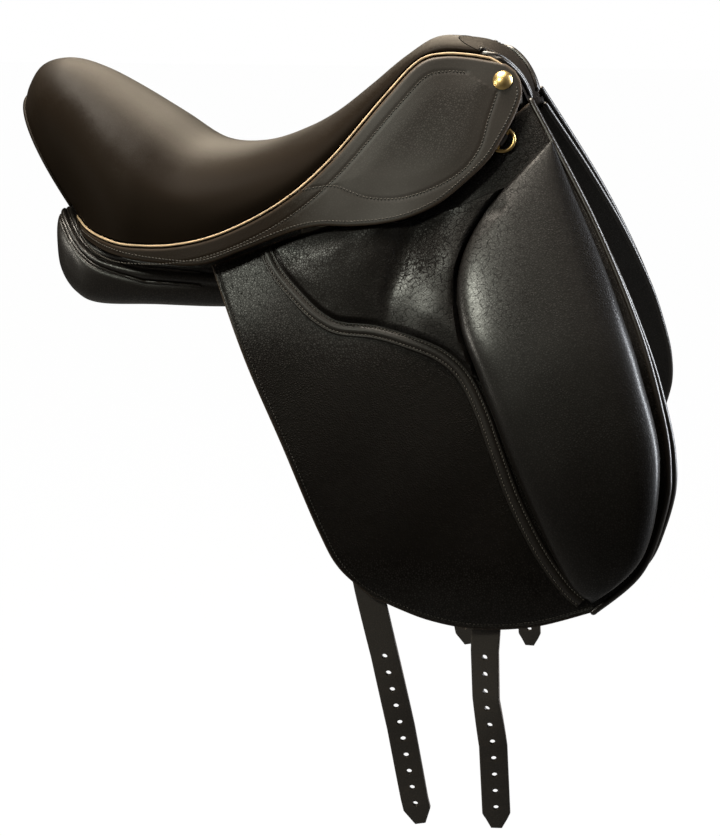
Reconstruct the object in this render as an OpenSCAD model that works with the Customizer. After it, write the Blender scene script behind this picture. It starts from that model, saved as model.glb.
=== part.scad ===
// Dressage saddle: leather seat, flaps and panels on a sprung tree, with girth billets and stirrup bars.
// +X points to the horse's head, +Y to its left side, +Z up. The base of the rear panels lies at Z = 0.

/* [Seat] */
// Height of the lowest point of the seat
seat_dip_z = 130.5; // [124:0.5:138]
// Place of the lowest point of the seat along the saddle
seat_dip_x = -43; // [-55:1:-35]
// Height of the pommel
pommel_z = 230; // [223:1:236]
// Distance from the lowest point forward to the pommel's top
pommel_run = 184; // [176:1:190]
// Height of the cantle
cantle_z = 206; // [196:1:216]
// Distance from the lowest point back to the cantle's top
cantle_run = 185; // [178:1:196]
// Lowest height of the seat's edge
seat_edge_z = 57.5; // [52:0.5:62]
// Squareness of the seat's cross-section
seat_fullness = 2.4; // [2.1:0.1:2.8]
// Thickness of the seat leather
cover_t = 2.5; // [2:0.5:3]
// Thickness of the seat foam
foam_t = 14; // [10:1:16]
// Diameter of the tan welt along the seat's edge
welt_d = 4.6; // [3.6:0.2:5]

/* [Sides] */
// Half width over the flaps at the height where they start to curve
side_half_w = 147; // [140:1:156]
// Height where the flaps start to curve
bend_z = 10; // [4:1:14]
// Slope of the upper sides from the vertical
side_tilt = 25; // [23:1:27]
// Radius of the curved lower sides
side_r = 650; // [600:10:720]
// Thickness of the flap leather
flap_t = 4; // [3:0.5:4.5]
// Thickness of the sweat flap leather
sweat_t = 3; // [2:0.5:3.5]
// Room for the billets between flap and sweat flap
slot_w = 10; // [9.5:0.5:11]
// How far the sweat flap shows in front of the flap
sweat_margin = 4.5; // [3:0.5:7]
// Forward reach of the flap's front edge
flap_reach = 348.5; // [340:0.5:360]
// Drop of the flap below the panel base
flap_drop = 255.5; // [240:0.5:262]

/* [Skirt] */
// Height of the skirt's outer face above the flap's outer face
skirt_off = 16; // [15:0.5:18]
// Thickness of the skirt leather
skirt_t = 4; // [3:0.5:4.5]
// Diameter of the brass stud
stud_d = 17; // [14:1:20]

/* [Padding] */
// Greatest height of the thigh block above the flap
block_h = 40; // [25:1:48]
// Height of the padded upper flap
pad_h = 9; // [4:0.5:11]
// Width of the sewn seam strip on the flap
seam_w = 9; // [6:0.5:9.5]
// Height of the seam strip
seam_h = 2; // [1.5:0.5:3]
// Width of the gullet between the panels at the rear
gullet_w = 56; // [50:1:64]

/* [Billets] */
// Width of a billet
billet_w = 25; // [20:1:28]
// Thickness of a billet
billet_t = 4; // [3:0.5:4.5]
// Straight length of a billet below its curved part
billet_free = 172; // [165:1:200]
// Diameter of a punched hole
hole_d = 5; // [4:0.5:6.5]
// Spacing of the punched holes
hole_pitch = 16; // [14:0.5:16.5]
// Number of punched holes in a billet
hole_count = 10; // [6:1:10]

/* [Metal] */
// Width of the stirrup bar's rod
bar_h = 9; // [7:0.5:11]
// Length of the stirrup bar's rod
bar_len = 56; // [50:1:60]
// Diameter of the latch pin
pin_d = 3; // [2.5:0.5:4]
// Mean radius of the dee ring
dee_r = 10; // [8:0.5:11]
// Wire thickness of the dee ring
dee_wire = 3.4; // [2.6:0.2:3.8]

/* [Hidden] */

$fn = 48;
// Clearance between pieces that lie against each other
gap = 0.3;
// Clearance under pieces sewn to the flap, and under the flap's own root
sewn_gap = 0.6;
black = "#2b2624";
grain = "#332d2a";
tan_leather = "#c8a47c";
brass = "#c9a24a";
steel = "#a9adb2";
webbing = "#8c857a";

// Curves and grids

function lerp(a, b, t) = a + (b - a) * t;
function unit(v) = v / norm(v);
function row_of(grid) = [for (r = grid) each r];

// Smooth curve through a list of points or rows, t from 0 to 1
function spline(p, t) =
    let (n = len(p) - 1, i = max(0, min(floor(t * n), n - 1)), f = t * n - i)
    let (a = p[max(i - 1, 0)], b = p[i], c = p[i + 1], d = p[min(i + 2, n)])
    0.5 * (2 * b + (c - a) * f + (2 * a - 5 * b + 4 * c - d) * f * f + (3 * b - a - 3 * c + d) * f * f * f);

// Patch between four edge curves: rear and front run with t, top and bottom run with s
function patch(rear, front, top, bottom, s, t) =
    let (corners = lerp(lerp(spline(rear, 0), spline(front, 0), s), lerp(spline(rear, 1), spline(front, 1), s), t))
    lerp(spline(rear, t), spline(front, t), s) + lerp(spline(top, s), spline(bottom, s), t) - corners;

function six_volumes(p, faces) = [for (f = faces) p[f[0]] * cross(p[f[1]], p[f[2]])] * [for (f = faces) 1];
function quad(a, b, c, d) = [[a, b, c], [a, c, d]];

// Solid with its faces turned outwards, whichever way round they were listed
module closed_solid(p, faces) {
    outward = six_volumes(p, faces) > 0;
    polyhedron(p, outward ? [for (f = faces) [f[2], f[1], f[0]]] : faces);
}

// Solid between two grids of points that have the same rows and columns
module solid_between(outer, inner) {
    rows = len(outer);
    cols = len(outer[0]);
    n = rows * cols;
    face = [for (i = [0:rows - 2], j = [0:cols - 2])
        each quad(i * cols + j, i * cols + j + 1, (i + 1) * cols + j + 1, (i + 1) * cols + j)];
    back = [for (f = face) [f[2] + n, f[1] + n, f[0] + n]];
    rim = concat([for (j = [0:cols - 1]) j], [for (i = [1:rows - 1]) i * cols + cols - 1],
        [for (j = [cols - 2:-1:0]) (rows - 1) * cols + j], [for (i = [rows - 2:-1:1]) i * cols]);
    side = [for (k = [0:len(rim) - 1]) let (a = rim[k], b = rim[(k + 1) % len(rim)]) each quad(b, a, a + n, b + n)];
    closed_solid(concat(row_of(outer), row_of(inner)), concat(face, back, side));
}

// Solid through a list of closed rings, with flat ends or joined into a loop
module solid_rings(rings, loop = false) {
    m = len(rings[0]);
    n = len(rings);
    last = loop ? n - 1 : n - 2;
    wall = [for (i = [0:last], j = [0:m - 1]) let (k = (i + 1) % n, l = (j + 1) % m)
        each quad(i * m + j, i * m + l, k * m + l, k * m + j)];
    caps = loop ? [] : [for (j = [1:m - 2]) each [[0, j + 1, j], [(n - 1) * m, (n - 1) * m + j, (n - 1) * m + j + 1]]];
    closed_solid(row_of(rings), concat(wall, caps));
}

// Ring of a flat or round section at a point of a path: width lies level, height points up
function ring_at(p, along, section) =
    let (across = unit(cross([0, 0, 1], along)), up = cross(unit(along), across))
    [for (q = section) p + across * q[0] + up * q[1]];
function path_dir(p, t) = spline(p, min(t + 0.01, 1)) - spline(p, max(t - 0.01, 0));
function sweep_rings(p, section, from, to, steps) =
    [for (k = [0:steps]) let (t = lerp(from, to, k / steps)) ring_at(spline(p, t), path_dir(p, t), section)];
function plank(w, h, chamfer) = let (a = w / 2, b = h / 2, c = chamfer)
    [[a, -b + c], [a, b - c], [a - c, b], [-a + c, b], [-a, b - c], [-a, -b + c], [-a + c, -b], [a - c, -b]];
function strap_section(w, h) = [[w / 2, -h / 2], [w / 2, h / 2], [-w / 2, h / 2], [-w / 2, -h / 2]];

module both(side) {
    if (side > 0) children();
    else mirror([0, 1, 0]) children();
}

// Sides: sloped planes above, round below. Points here are [x, z].

bend_centre = [side_half_w - side_r * cos(side_tilt), bend_z - side_r * sin(side_tilt)];
function side_y(z) = z >= bend_z
    ? side_half_w - (z - bend_z) * tan(side_tilt)
    : bend_centre[0] + sqrt(pow(side_r, 2) - pow(max(z, bend_centre[1]) - bend_centre[1], 2));

// The rear of the skirt wraps round the back of the seat
wrap_x = -120;
wrap_run = 68;
wrap_depth = 45;
function wrap(x) = x < wrap_x ? wrap_depth * pow((wrap_x - x) / wrap_run, 2) : 0;
function on_side(p, off) = [p[0], side_y(p[1]) + off - wrap(p[0]), p[1]];
function sheet(points, off) = [for (r = points) [for (p = r) on_side(p, off)]];

// Frame on the sloped upper side: its Y points outwards and its Z up the slope
module at_side(x, z, off) {
    translate(on_side([x, z], off)) rotate([side_tilt, 0, 0]) children();
}

// Line along which flap and skirt flex, in the sloped plane
flex_rear = [-52, 40];
flex_slope = 0.543;
function flex_z(x) = flex_rear[1] + (x - flex_rear[0]) * flex_slope;

// Seat rows from pommel to cantle: run and rise of the crown as shares of the pommel's or the cantle's,
// then how far the edge lies ahead of the crown and how high it is as a share of the pommel's height
front_rows = [[1.04, 0.99, 28, 0.928], [0.918, 0.975, 17, 0.939], [0.793, 0.818, 15, 0.896],
    [0.641, 0.58, 15, 0.722], [0.44, 0.297, 7, 0.409], [0.234, 0.106, 5, 0.211], [0, 0, 0, 0.067]];
rear_rows = [[0.227, 0.045, 0, 0.006], [0.443, 0.371, 0, 0], [0.66, 0.695, 15, 0.02],
    [0.82, 0.9, 30, 0.037], [0.957, 1, 45, 0.055]];
// Rows that roll over the cantle: steps back and down from its top, then the edge as above
rim_rows = [[-12, -4, 58, 0.073], [-24, -20, 65, 0.083], [-28, -33, 66, 0.089]];

function edge_z(share) = lerp(seat_edge_z, pommel_z, share);
seat_rows = concat(
    [for (r = front_rows) let (x = seat_dip_x + r[0] * pommel_run)
        [x, lerp(seat_dip_z, pommel_z, r[1]), x + r[2], edge_z(r[3])]],
    [for (r = rear_rows) let (x = seat_dip_x - r[0] * cantle_run)
        [x, lerp(seat_dip_z, cantle_z, r[1]), x + r[2], edge_z(r[3])]],
    [for (r = rim_rows) let (x = seat_dip_x - cantle_run + r[0]) [x, cantle_z + r[1], x + r[2], edge_z(r[3])]]);
seat_edge = [for (r = seat_rows) [r[2], r[3]]];
edge_inset = 2;

// Arch from the edge over the crown: v runs from -1 at the right edge to 1 at the left edge
function arch(row, half_w, v) =
    let (h = pow(abs(cos(90 * v)), 2 / seat_fullness), g = sign(v) * pow(abs(sin(90 * v)), 2 / seat_fullness))
    [lerp(row[2], row[0], h), half_w * g, lerp(row[3], row[1], h)];
function edge_y(p) = on_side(p, skirt_off - edge_inset)[1];
function seat_at(u, v) = let (r = spline(seat_rows, u)) arch(r, edge_y([r[2], r[3]]), v);
function seat_normal(u, v) =
    let (du = 0.004, dv = 0.02, a = max(u - du, 0), b = min(u + du, 1), c = max(v - dv, -1), d = min(v + dv, 1))
    unit(cross(seat_at(a, v) - seat_at(b, v), seat_at(u, d) - seat_at(u, c)));
function seat_under(u, v, depth) = seat_at(u, v) - depth * seat_normal(u, v);
function seat_grid(us, vs, depth) = [for (u = us) [for (v = vs) seat_under(u, v, depth)]];
function steps(a, b, n) = [for (k = [0:n]) lerp(a, b, k / n)];

foam_top = cover_t + gap;
foam_base = foam_top + foam_t;
web_t = 2;
long_web_top = foam_base + gap;
cross_web_top = long_web_top + web_t + gap;

// Every layer of the seat lies on the same grid of rows and columns, so that their faces run parallel
seat_us = steps(0, 1, 28);
seat_vs = steps(-1, 1, 16);
function some(list, from, to) = [for (k = [from:to]) list[k]];

module seat_layer(row_from, row_to, margin, top, bottom) {
    us = some(seat_us, row_from, row_to);
    vs = some(seat_vs, margin, len(seat_vs) - 1 - margin);
    solid_between(seat_grid(us, vs, top), seat_grid(us, vs, bottom));
}

module seat_cover() {
    color(black) seat_layer(0, len(seat_us) - 1, 0, 0, cover_t);
}

module seat_foam() {
    color("#d8c48a") seat_layer(1, 25, 1, foam_top, foam_base);
}

module seat_web_long() {
    color(webbing) seat_layer(3, 19, 6, long_web_top, long_web_top + web_t);
}

module seat_web_cross() {
    color(webbing) seat_layer(11, 13, 4, cross_web_top, cross_web_top + web_t);
}

// Tan welt along the seat's edge, from the pommel round to the cantle's corner
function below_edge(u, drop) = let (d = unit(path_dir(seat_edge, u))) spline(seat_edge, u) + drop * [-d[1], d[0]];
welt_off = skirt_off - edge_inset / 2 - welt_d / 2;
welt_line = [for (u = seat_us) on_side(below_edge(u, welt_d / 2 + gap), welt_off)];

module seat_welt(side) {
    welt = [for (k = [0:7]) welt_d / 2 * [cos(45 * k), sin(45 * k)]];
    color(tan_leather) both(side) solid_rings(sweep_rings(welt_line, welt, 0, 1, len(seat_us) - 1));
}

// Facing that rolls over the pommel's front and turns under into the gullet
facing_inset = 8;
facing_tuck = 42;
facing_rows = [[seat_rows[0][0] + 1, seat_rows[0][1] - gap, seat_edge[0][0] + 1, seat_edge[0][1]],
    [171, pommel_z - 4, 188, pommel_z - 20], [188, pommel_z - 12, 196, pommel_z - 29],
    [203, pommel_z - 27, 203, pommel_z - 39], [212, pommel_z - 44, 210, pommel_z - 55],
    [212, pommel_z - 57, 214, pommel_z - 77], [202, pommel_z - 65, 212, pommel_z - 91]];
function facing_at(u, v, depth) =
    let (r = spline(facing_rows, u), a = arch(r, on_side([r[2], r[3]], facing_inset)[1] - facing_tuck * u * u, v))
    let (d = spline(facing_rows, min(u + 0.02, 1)) - spline(facing_rows, max(u - 0.02, 0)))
    a - depth * unit([-d[1], 0, d[0]]);

module pommel_facing() {
    us = steps(0, 1, 12);
    vs = steps(-0.92, 0.92, 12);
    color(black) solid_between([for (u = us) [for (v = vs) facing_at(u, v, 0)]],
        [for (u = us) [for (v = vs) facing_at(u, v, cover_t)]]);
}

// Back of the cantle, hung inside the rim
back_inset = 2.6;
rim_row = seat_rows[len(seat_rows) - 1];
back_top = [rim_row[0] + back_inset, rim_row[1] - back_inset];
back_foot = [rim_row[2] - 18, rim_row[3] + 8];
function back_at(w, v) =
    let (c = lerp(back_top, back_foot, w))
    arch([c[0], c[1], rim_row[2], rim_row[3]], edge_y([rim_row[2], rim_row[3]]) - back_inset, v);

module cantle_back() {
    ws = steps(0, 1, 5);
    vs = steps(-0.94, 0.94, 14);
    color(black) solid_between([for (w = ws) [for (v = vs) back_at(w, v)]],
        [for (w = ws) [for (v = vs) back_at(w, v) + [cover_t, 0, 0]]]);
}

// Tree: a closed wooden loop from the head along both rails to the cantle

rail_w = 20;
rail_h = 14;
rail_in = side_half_w - 63;
tree_half = [[178, 0, 190], [172, rail_in - 54, 184], [140, rail_in - 40, 164], [90, rail_in - 30, 134],
    [30, rail_in - 16, 101], [-43, rail_in - 4, 84], [-110, rail_in, 85], [-160, rail_in - 6, 97],
    [-192, rail_in - 30, 110], [-206, 0, 119]];
tree_far = [for (k = [len(tree_half) - 2:-1:1]) let (p = tree_half[k]) [p[0], -p[1], p[2]]];
tree_loop = concat(tree_half, tree_far, [tree_half[0], tree_half[1]]);

function tree_rings(section) = sweep_rings(tree_loop, section, 1 / (len(tree_loop) - 1), 1, 36);

module tree() {
    rings = tree_rings(plank(rail_w, rail_h, 3));
    color("#b98d5c") solid_rings(some(rings, 0, len(rings) - 2), loop = true);
}

module tree_springs() {
    spring_t = 2;
    raised = [for (q = strap_section(12, spring_t)) q + [0, (rail_h + spring_t) / 2 + gap]];
    for (side = [1, -1])
        color(steel) both(side) solid_rings(some(tree_rings(raised), 7, 15));
}

// Steel head plate: an arch in front of the tree's head with points down both sides
plate_t = 5;
plate_w = 14;
plate_x = 188.3;
plate_in = 27;
plate_foot_z = 74;
plate_top_z = 189;
plate_shoulder_z = 158;
function plate_line(off) =
    let (foot = side_y(plate_foot_z) - plate_in - off, shoulder = side_y(plate_shoulder_z) - plate_in - off)
    concat([[foot, plate_foot_z]],
        [for (k = [0:8]) let (a = 90 * k / 8)
            [shoulder * cos(a), lerp(plate_shoulder_z, plate_top_z - off, sin(a))]]);

module head_plate() {
    outer = plate_line(0);
    inner = plate_line(plate_t);
    far_outer = [for (k = [len(outer) - 2:-1:0]) [-outer[k][0], outer[k][1]]];
    far_inner = [for (k = [0:len(inner) - 2]) [-inner[k][0], inner[k][1]]];
    near_inner = [for (k = [len(inner) - 1:-1:0]) inner[k]];
    color(steel) translate([plate_x, 0, 0]) rotate([90, 0, 90]) linear_extrude(plate_w)
        polygon(concat(outer, far_outer, far_inner, near_inner));
}

// Girth webs over the tree, whose ends carry the billets
web_off = -flap_t - 3.6;
girth_web_w = 24;
pivot_z = 42;

module girth_web(x, over) {
    drop = over[len(over) - 1][1] - 22;
    half = concat(over, [for (z = steps(drop, pivot_z - 8, 3)) [side_y(z) + web_off, z]]);
    far = [for (k = [len(half) - 1:-1:1]) [-half[k][0], half[k][1]]];
    line = [for (p = concat(far, half)) [p[0], p[1]]];
    n = 32;
    across = [for (k = [0:n]) let (t = k / n, p = spline(line, t), d = unit(path_dir(line, t))) [p, [-d[1], d[0]]]];
    function face(off) = [for (e = [-1, 1])
        [for (a = across) let (q = a[0] + a[1] * off) [x + e * girth_web_w / 2, q[0], q[1]]]];
    color(webbing) solid_between(face(web_t / 2), face(-web_t / 2));
}

front_pivot_x = 185;
rear_pivot_x = 35;

module girth_web_front() {
    girth_web(front_pivot_x - 9, [[0, 198.4], [rail_in - 50, 194.4], [rail_in - 28, 180]]);
}

module girth_web_rear() {
    girth_web(rear_pivot_x + 2, [[0, 121.2], [rail_in - 14, 120.2], [rail_in + 8, 103.4]]);
}

// Flap outline

flap_rear = [[-52, 38], [-15, -38.5], [23, -110], [55, -177], [74, 46.5 - flap_drop], [103, 22.5 - flap_drop]];
flap_front = [[218, 178], [flap_reach - 72.5, 84], [flap_reach - 29.5, -3], [flap_reach - 7, -70], [flap_reach, -110],
    [flap_reach - 2, 112 - flap_drop], [flap_reach - 19, 60 - flap_drop], [flap_reach - 56, 22.5 - flap_drop]];
flap_top = [[-52, 38], [20, 64], [85, 82], [110, 86], [160, 110], [186, 148], [218, 178]];
flap_bottom = [[103, 22.5 - flap_drop], [150, 5.5 - flap_drop], [197, -flap_drop], [245, 6 - flap_drop],
    [flap_reach - 56, 22.5 - flap_drop]];
flap_ts = concat([0, 0.035, 0.08], steps(0.16, 1, 10));
flap_ss = concat(steps(0, 0.2, 3), steps(0.26, 1, 9));
flap_points = [for (t = flap_ts) [for (s = flap_ss) patch(flap_rear, flap_front, flap_top, flap_bottom, s, t)]];
sweat_raise = 6;
sweat_dip = 14;
sweat_points = [for (t = flap_ts) [for (s = flap_ss)
    patch(flap_rear, flap_front, flap_top, flap_bottom, s, t)
        + [sweat_margin, sweat_raise * t - sweat_dip * s * (1 - t)]]];
sweat_off = -flap_t - slot_w;

// The rear of the flap's top edge is thickened to lie on the sweat flap, where it is nailed down
module flap(side) {
    thick_s = 0.1;
    inner = [for (i = [0:len(flap_ts) - 1]) [for (j = [0:len(flap_ss) - 1])
        let (root = i == 0 && flap_ss[j] < thick_s)
        on_side(flap_points[i][j], root ? sweat_off + sewn_gap : -flap_t)]];
    color(black) both(side) solid_between(sheet(flap_points, 0), inner);
}

module sweat_flap(side) {
    color(black) both(side) solid_between(sheet(sweat_points, sweat_off), sheet(sweat_points, sweat_off - sweat_t));
}

// Raised piece on the flap, from its points and the height above the flap at each
module on_flap(points, heights) {
    solid_between([for (i = [0:len(points) - 1]) [for (j = [0:len(points[0]) - 1])
        on_side(points[i][j], sewn_gap + heights[i][j])]], sheet(points, sewn_gap));
}

block_rear = [[237, 147], [190, 95], [167, 48], [170, 2], [191, -46], [228, -125], [267, -199], [289, -221]];
block_front = [[239, 145.5], [259, 105], [284, 57], [304, 13], [322, -32], [341, -100], [332, -175], [292, -222]];
block_edge_h = 3;

module thigh_block(side) {
    ts = steps(0, 1, 14);
    ss = steps(0, 1, 8);
    points = [for (t = ts) [for (s = ss) lerp(spline(block_rear, t), spline(block_front, t), s)]];
    heights = [for (t = ts) [for (s = ss)
        block_edge_h + (block_h - block_edge_h) * pow(sin(180 * pow(t, 0.85)), 0.8) * pow(sin(180 * pow(s, 1.3)), 0.7)]];
    color(grain) both(side) on_flap(points, heights);
}

pad_top = [[8, 58], [60, 71], [110, 78], [157, 90]];
pad_low = [[8, 54], [26, 32], [51, 11], [86, 0], [124, -5], [163, -22]];
pad_edge_h = 1.5;

module flap_pad(side) {
    ts = steps(0, 1, 8);
    ss = steps(0, 1, 12);
    points = [for (t = ts) [for (s = ss) lerp(spline(pad_top, s), spline(pad_low, s), t)]];
    valley = 0.35;
    heights = [for (t = ts) [for (s = ss)
        pad_edge_h + pad_h * pow(sin(180 * t), 0.7) * pow(sin(180 * s), 0.6) * (1 - valley * pow(sin(180 * s), 12))]];
    color(grain) both(side) on_flap(points, heights);
}

seam_line = [[-4, 52], [10, 32], [35, 9], [51, -2], [67, -8], [97, -10], [124, -16], [154, -26], [175, -42], [192, -70],
    [206, -102], [224, -143], [247, -184], [269, -213], [282, -224]];

module flap_seam(side) {
    n = 36;
    across = [for (k = [0:n]) let (t = k / n, d = unit(path_dir(seam_line, t))) [spline(seam_line, t), [-d[1], d[0]]]];
    points = [for (e = [-1, 1]) [for (a = across) a[0] + a[1] * e * seam_w / 2]];
    color(black) both(side) on_flap(points, [for (r = points) [for (p = r) seam_h]]);
}

// Skirt: its upper part is nailed down, and its lobe lifts along the flex line

skirt_gap = 0.5;
tail_x = -70;
tail_run = 118;
tail_rise = 20;
function skirt_low_z(x) = x > flex_rear[0] ? flex_z(x)
    : flex_rear[1] + (x < tail_x ? tail_rise * pow((tail_x - x) / tail_run, 2) : 0);
skirt_drop = welt_d + 2 * gap;
skirt_thin = 3;
skirt_corner = [206, pommel_z - 29];
skirt_end_x = 211;
function skirt_column(top, x) = let (low = skirt_low_z(x)) [for (t = [0, 0.5, 1])
    lerp([top[0], max(top[1], low + skirt_thin)], [x, low], t)];

module skirt(side) {
    tops = [for (k = [len(seat_us) - 1:-1:0]) below_edge(seat_us[k], skirt_drop)];
    head = (tops[len(tops) - 1] + skirt_corner) / 2 + [4, 4];
    points = concat([for (p = tops) skirt_column(p, p[0])],
        [skirt_column(head, head[0]), skirt_column(skirt_corner, skirt_end_x)]);
    color(black) both(side) solid_between(sheet(points, skirt_off), sheet(points, skirt_off - skirt_t));
}

lobe_low = [[-18, 55], [19, 69], [60, 75], [97, 78], [130, 87], [160, 106], [184, 130], [200, 155], [209, 175]];

module skirt_lobe(side) {
    points = [for (s = steps(0, 1, 20)) let (p = spline(lobe_low, s), top = [p[0], flex_z(p[0]) - skirt_gap])
        [for (t = [0, 0.5, 1]) lerp(top, p, t)]];
    color(black) both(side) solid_between(sheet(points, skirt_off), sheet(points, skirt_off - skirt_t));
}

// Plain domed stud with a shank that lies on the skirt
stud_x = 194;
stud_z = 196;
stud_h = 4;

module stud(side) {
    r = (pow(stud_d / 2, 2) + pow(stud_h, 2)) / (2 * stud_h);
    color(brass) both(side) at_side(stud_x, stud_z, skirt_off + gap) rotate([-90, 0, 0])
        rotate_extrude() intersection() {
            translate([0, stud_h - r]) circle(r, $fn = 96);
            square([stud_d, stud_h]);
        }
}

// Panels: padded cushions on both sides of the gullet.
// Rows hold the place along the saddle, the section's centre across and up, half width, half height and slope.
// Sizes across are shares of the room between gullet and side.

panel_fullness = 2.8;
panel_span = side_half_w - gullet_w / 2;
panel_rows = [[-209, 0.353, 47, 0.084, 9, 0], [-202, 0.361, 42, 0.269, 23, 2], [-187, 0.387, 31, 0.365, 28, 4],
    [-164, 0.412, 24.5, 0.412, 29, 7], [-110, 0.42, 24, 0.42, 26, 10], [-43, 0.395, 26, 0.403, 25, 18],
    [30, 0.361, 36, 0.378, 23, 34], [90, 0.378, 50, 0.378, 22, 52], [150, 0.378, 67, 0.387, 22, 63],
    [178, 0.37, 77, 0.378, 19, 65], [188, 0.37, 79, 0.286, 10, 65]];
function panel_at(u, a, grow) =
    let (r = spline(panel_rows, u), c = cos(a), s = sin(a), n = 2 / panel_fullness)
    let (w = (panel_span * r[3] + grow) * sign(c) * pow(abs(c), n), h = (r[4] + grow) * sign(s) * pow(abs(s), n))
    [r[0], gullet_w / 2 + panel_span * r[1] + w * cos(r[5]) + h * sin(r[5]), r[2] - w * sin(r[5]) + h * cos(r[5])];

module panel(side) {
    rings = [for (u = steps(0, 1, 20)) [for (k = [0:19]) panel_at(u, 18 * k, 0)]];
    color(black) both(side) solid_rings(rings);
}

module rear_gusset(side) {
    gusset_t = 2;
    us = steps(0.1, 0.45, 12);
    angles = steps(4, 40, 4);
    color(black) both(side) solid_between([for (u = us) [for (a = angles) panel_at(u, a, gap + gusset_t)]],
        [for (u = us) [for (a = angles) panel_at(u, a, gap)]]);
}

// Stirrup bar: a plate on the tree's rail, two posts and a rod that the stirrup leather hangs on

bar_x = 130;
bar_z = 126;
bar_plate_t = 3;
bar_plate_y = -19;
bar_rod_y = 3;
bar_rod_t = 6;
post_w = 10;
plate_rise = 38;
latch_len = 18;
latch_gap = 0.4;
knuckle = 10;

module at_bar(side) {
    both(side) at_side(bar_x, bar_z, 0) children();
}

module bar_block(x0, x1, y0, y1, z0, z1) {
    translate([x0, y0, z0]) cube([x1 - x0, y1 - y0, z1 - z0]);
}

// The latch's pin lies across the rod's rear end
module latch_bore(d) {
    translate([-bar_len / 2 - knuckle / 2, bar_rod_y - 1, 0]) rotate([-90, 0, 0]) cylinder(d = d, h = bar_rod_t + 2);
}

module stirrup_bar(side) {
    tongue = bar_rod_t / 3;
    color(steel) at_bar(side) difference() {
        union() {
            bar_block(-bar_len / 2, bar_len / 2, bar_plate_y, bar_plate_y + bar_plate_t, -bar_h / 2, plate_rise);
            bar_block(bar_len / 2 - post_w, bar_len / 2, bar_plate_y, bar_rod_y + bar_rod_t, -bar_h / 2, bar_h / 2);
            bar_block(-bar_len / 2, bar_len / 2, bar_rod_y, bar_rod_y + bar_rod_t, -bar_h / 2, bar_h / 2);
            bar_block(-bar_len / 2 - knuckle, -bar_len / 2, bar_rod_y + tongue, bar_rod_y + 2 * tongue,
                -bar_h / 2, bar_h / 2);
        }
        latch_bore(pin_d);
    }
}

module bar_latch(side) {
    tongue = bar_rod_t / 3;
    x0 = -bar_len / 2 - knuckle / 2 - latch_len;
    cheek = [-bar_len / 2 - knuckle / 2, bar_h / 2 - 0.5];
    color(steel) at_bar(side) difference() {
        for (y = [bar_rod_y, bar_rod_y + 2 * tongue + latch_gap])
            translate([0, y, 0]) {
                bar_block(x0, cheek[0], 0, tongue - latch_gap, -cheek[1], cheek[1]);
                translate([cheek[0], 0, 0]) rotate([-90, 0, 0]) cylinder(r = cheek[1], h = tongue - latch_gap);
            }
        latch_bore(pin_d + 2 * latch_gap);
    }
    color(steel) at_bar(side)
        bar_block(x0, x0 + latch_len - knuckle / 2 - cheek[1], bar_rod_y, bar_rod_y + bar_rod_t, -cheek[1], cheek[1]);
}

module latch_pin(side) {
    head_t = 1.2;
    color(steel) at_bar(side)
        translate([-bar_len / 2 - knuckle / 2, bar_rod_y - head_t - latch_gap, 0]) rotate([-90, 0, 0])
            cylinder(d = pin_d, h = bar_rod_t + 2 * (head_t + latch_gap));
}

// Dee ring in a leather tab that is sewn to the flap under the skirt's front edge

dee_x = 196;
dee_z = 145;
dee_turn = 30;
dee_height = 3.2;
tab_w = 11;
tab_len = 14;
dee_clear = 0.5;

module at_dee(side) {
    both(side) at_side(dee_x, dee_z, 0) rotate([0, dee_turn, 0]) children();
}

module dee_ring(side) {
    color(brass) at_dee(side) translate([0, dee_height, 0]) rotate([90, 0, 0]) {
        rotate([0, 0, -90]) rotate_extrude(angle = 180) translate([dee_r, 0]) circle(d = dee_wire);
        rotate([90, 0, 0]) translate([0, 0, -dee_r]) cylinder(d = dee_wire, h = 2 * dee_r);
    }
}

module dee_tab(side) {
    bore = dee_wire + 2 * dee_clear;
    wall = 1;
    h = bore / 2 + wall;
    color(black) at_dee(side) difference() {
        union() {
            translate([0, dee_height, -tab_w / 2]) cylinder(r = h, h = tab_w);
            bar_block(-tab_len, 0, gap, dee_height, -tab_w / 2, tab_w / 2);
        }
        translate([0, dee_height, -tab_w]) cylinder(d = bore, h = 2 * tab_w);
        bar_block(-tab_len, tab_len, gap - tab_len, gap, -tab_w, tab_w);
    }
}

// Billets: straight on the slope, bent round like the sides, then straight down to a pointed end

billet_top = 12;
bend_lag = 5;
billet_clear = 0.4;
billet_y = sweat_off * cos(side_tilt) + billet_clear;
slope_run = (pivot_z - bend_z) / cos(side_tilt) + bend_lag;
tip_run = 14;

// Holes and pointed end, in the frame of the strap's straight end
module billet_cuts() {
    tip = billet_w / 5;
    far = billet_w;
    for (k = [0:hole_count - 1])
        translate([0, 1, tip_run + 6 - billet_free + k * hole_pitch]) rotate([90, 0, 0])
            cylinder(d = hole_d, h = billet_t + 2);
    for (e = [-1, 1])
        translate([0, 1, 0]) rotate([90, 0, 0]) linear_extrude(billet_t + 2)
            polygon([[e * tip, -billet_free], [e * billet_w / 2, tip_run - billet_free], [e * far, tip_run - billet_free],
                [e * far, -far - billet_free], [e * tip, -far - billet_free]]);
}

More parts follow.
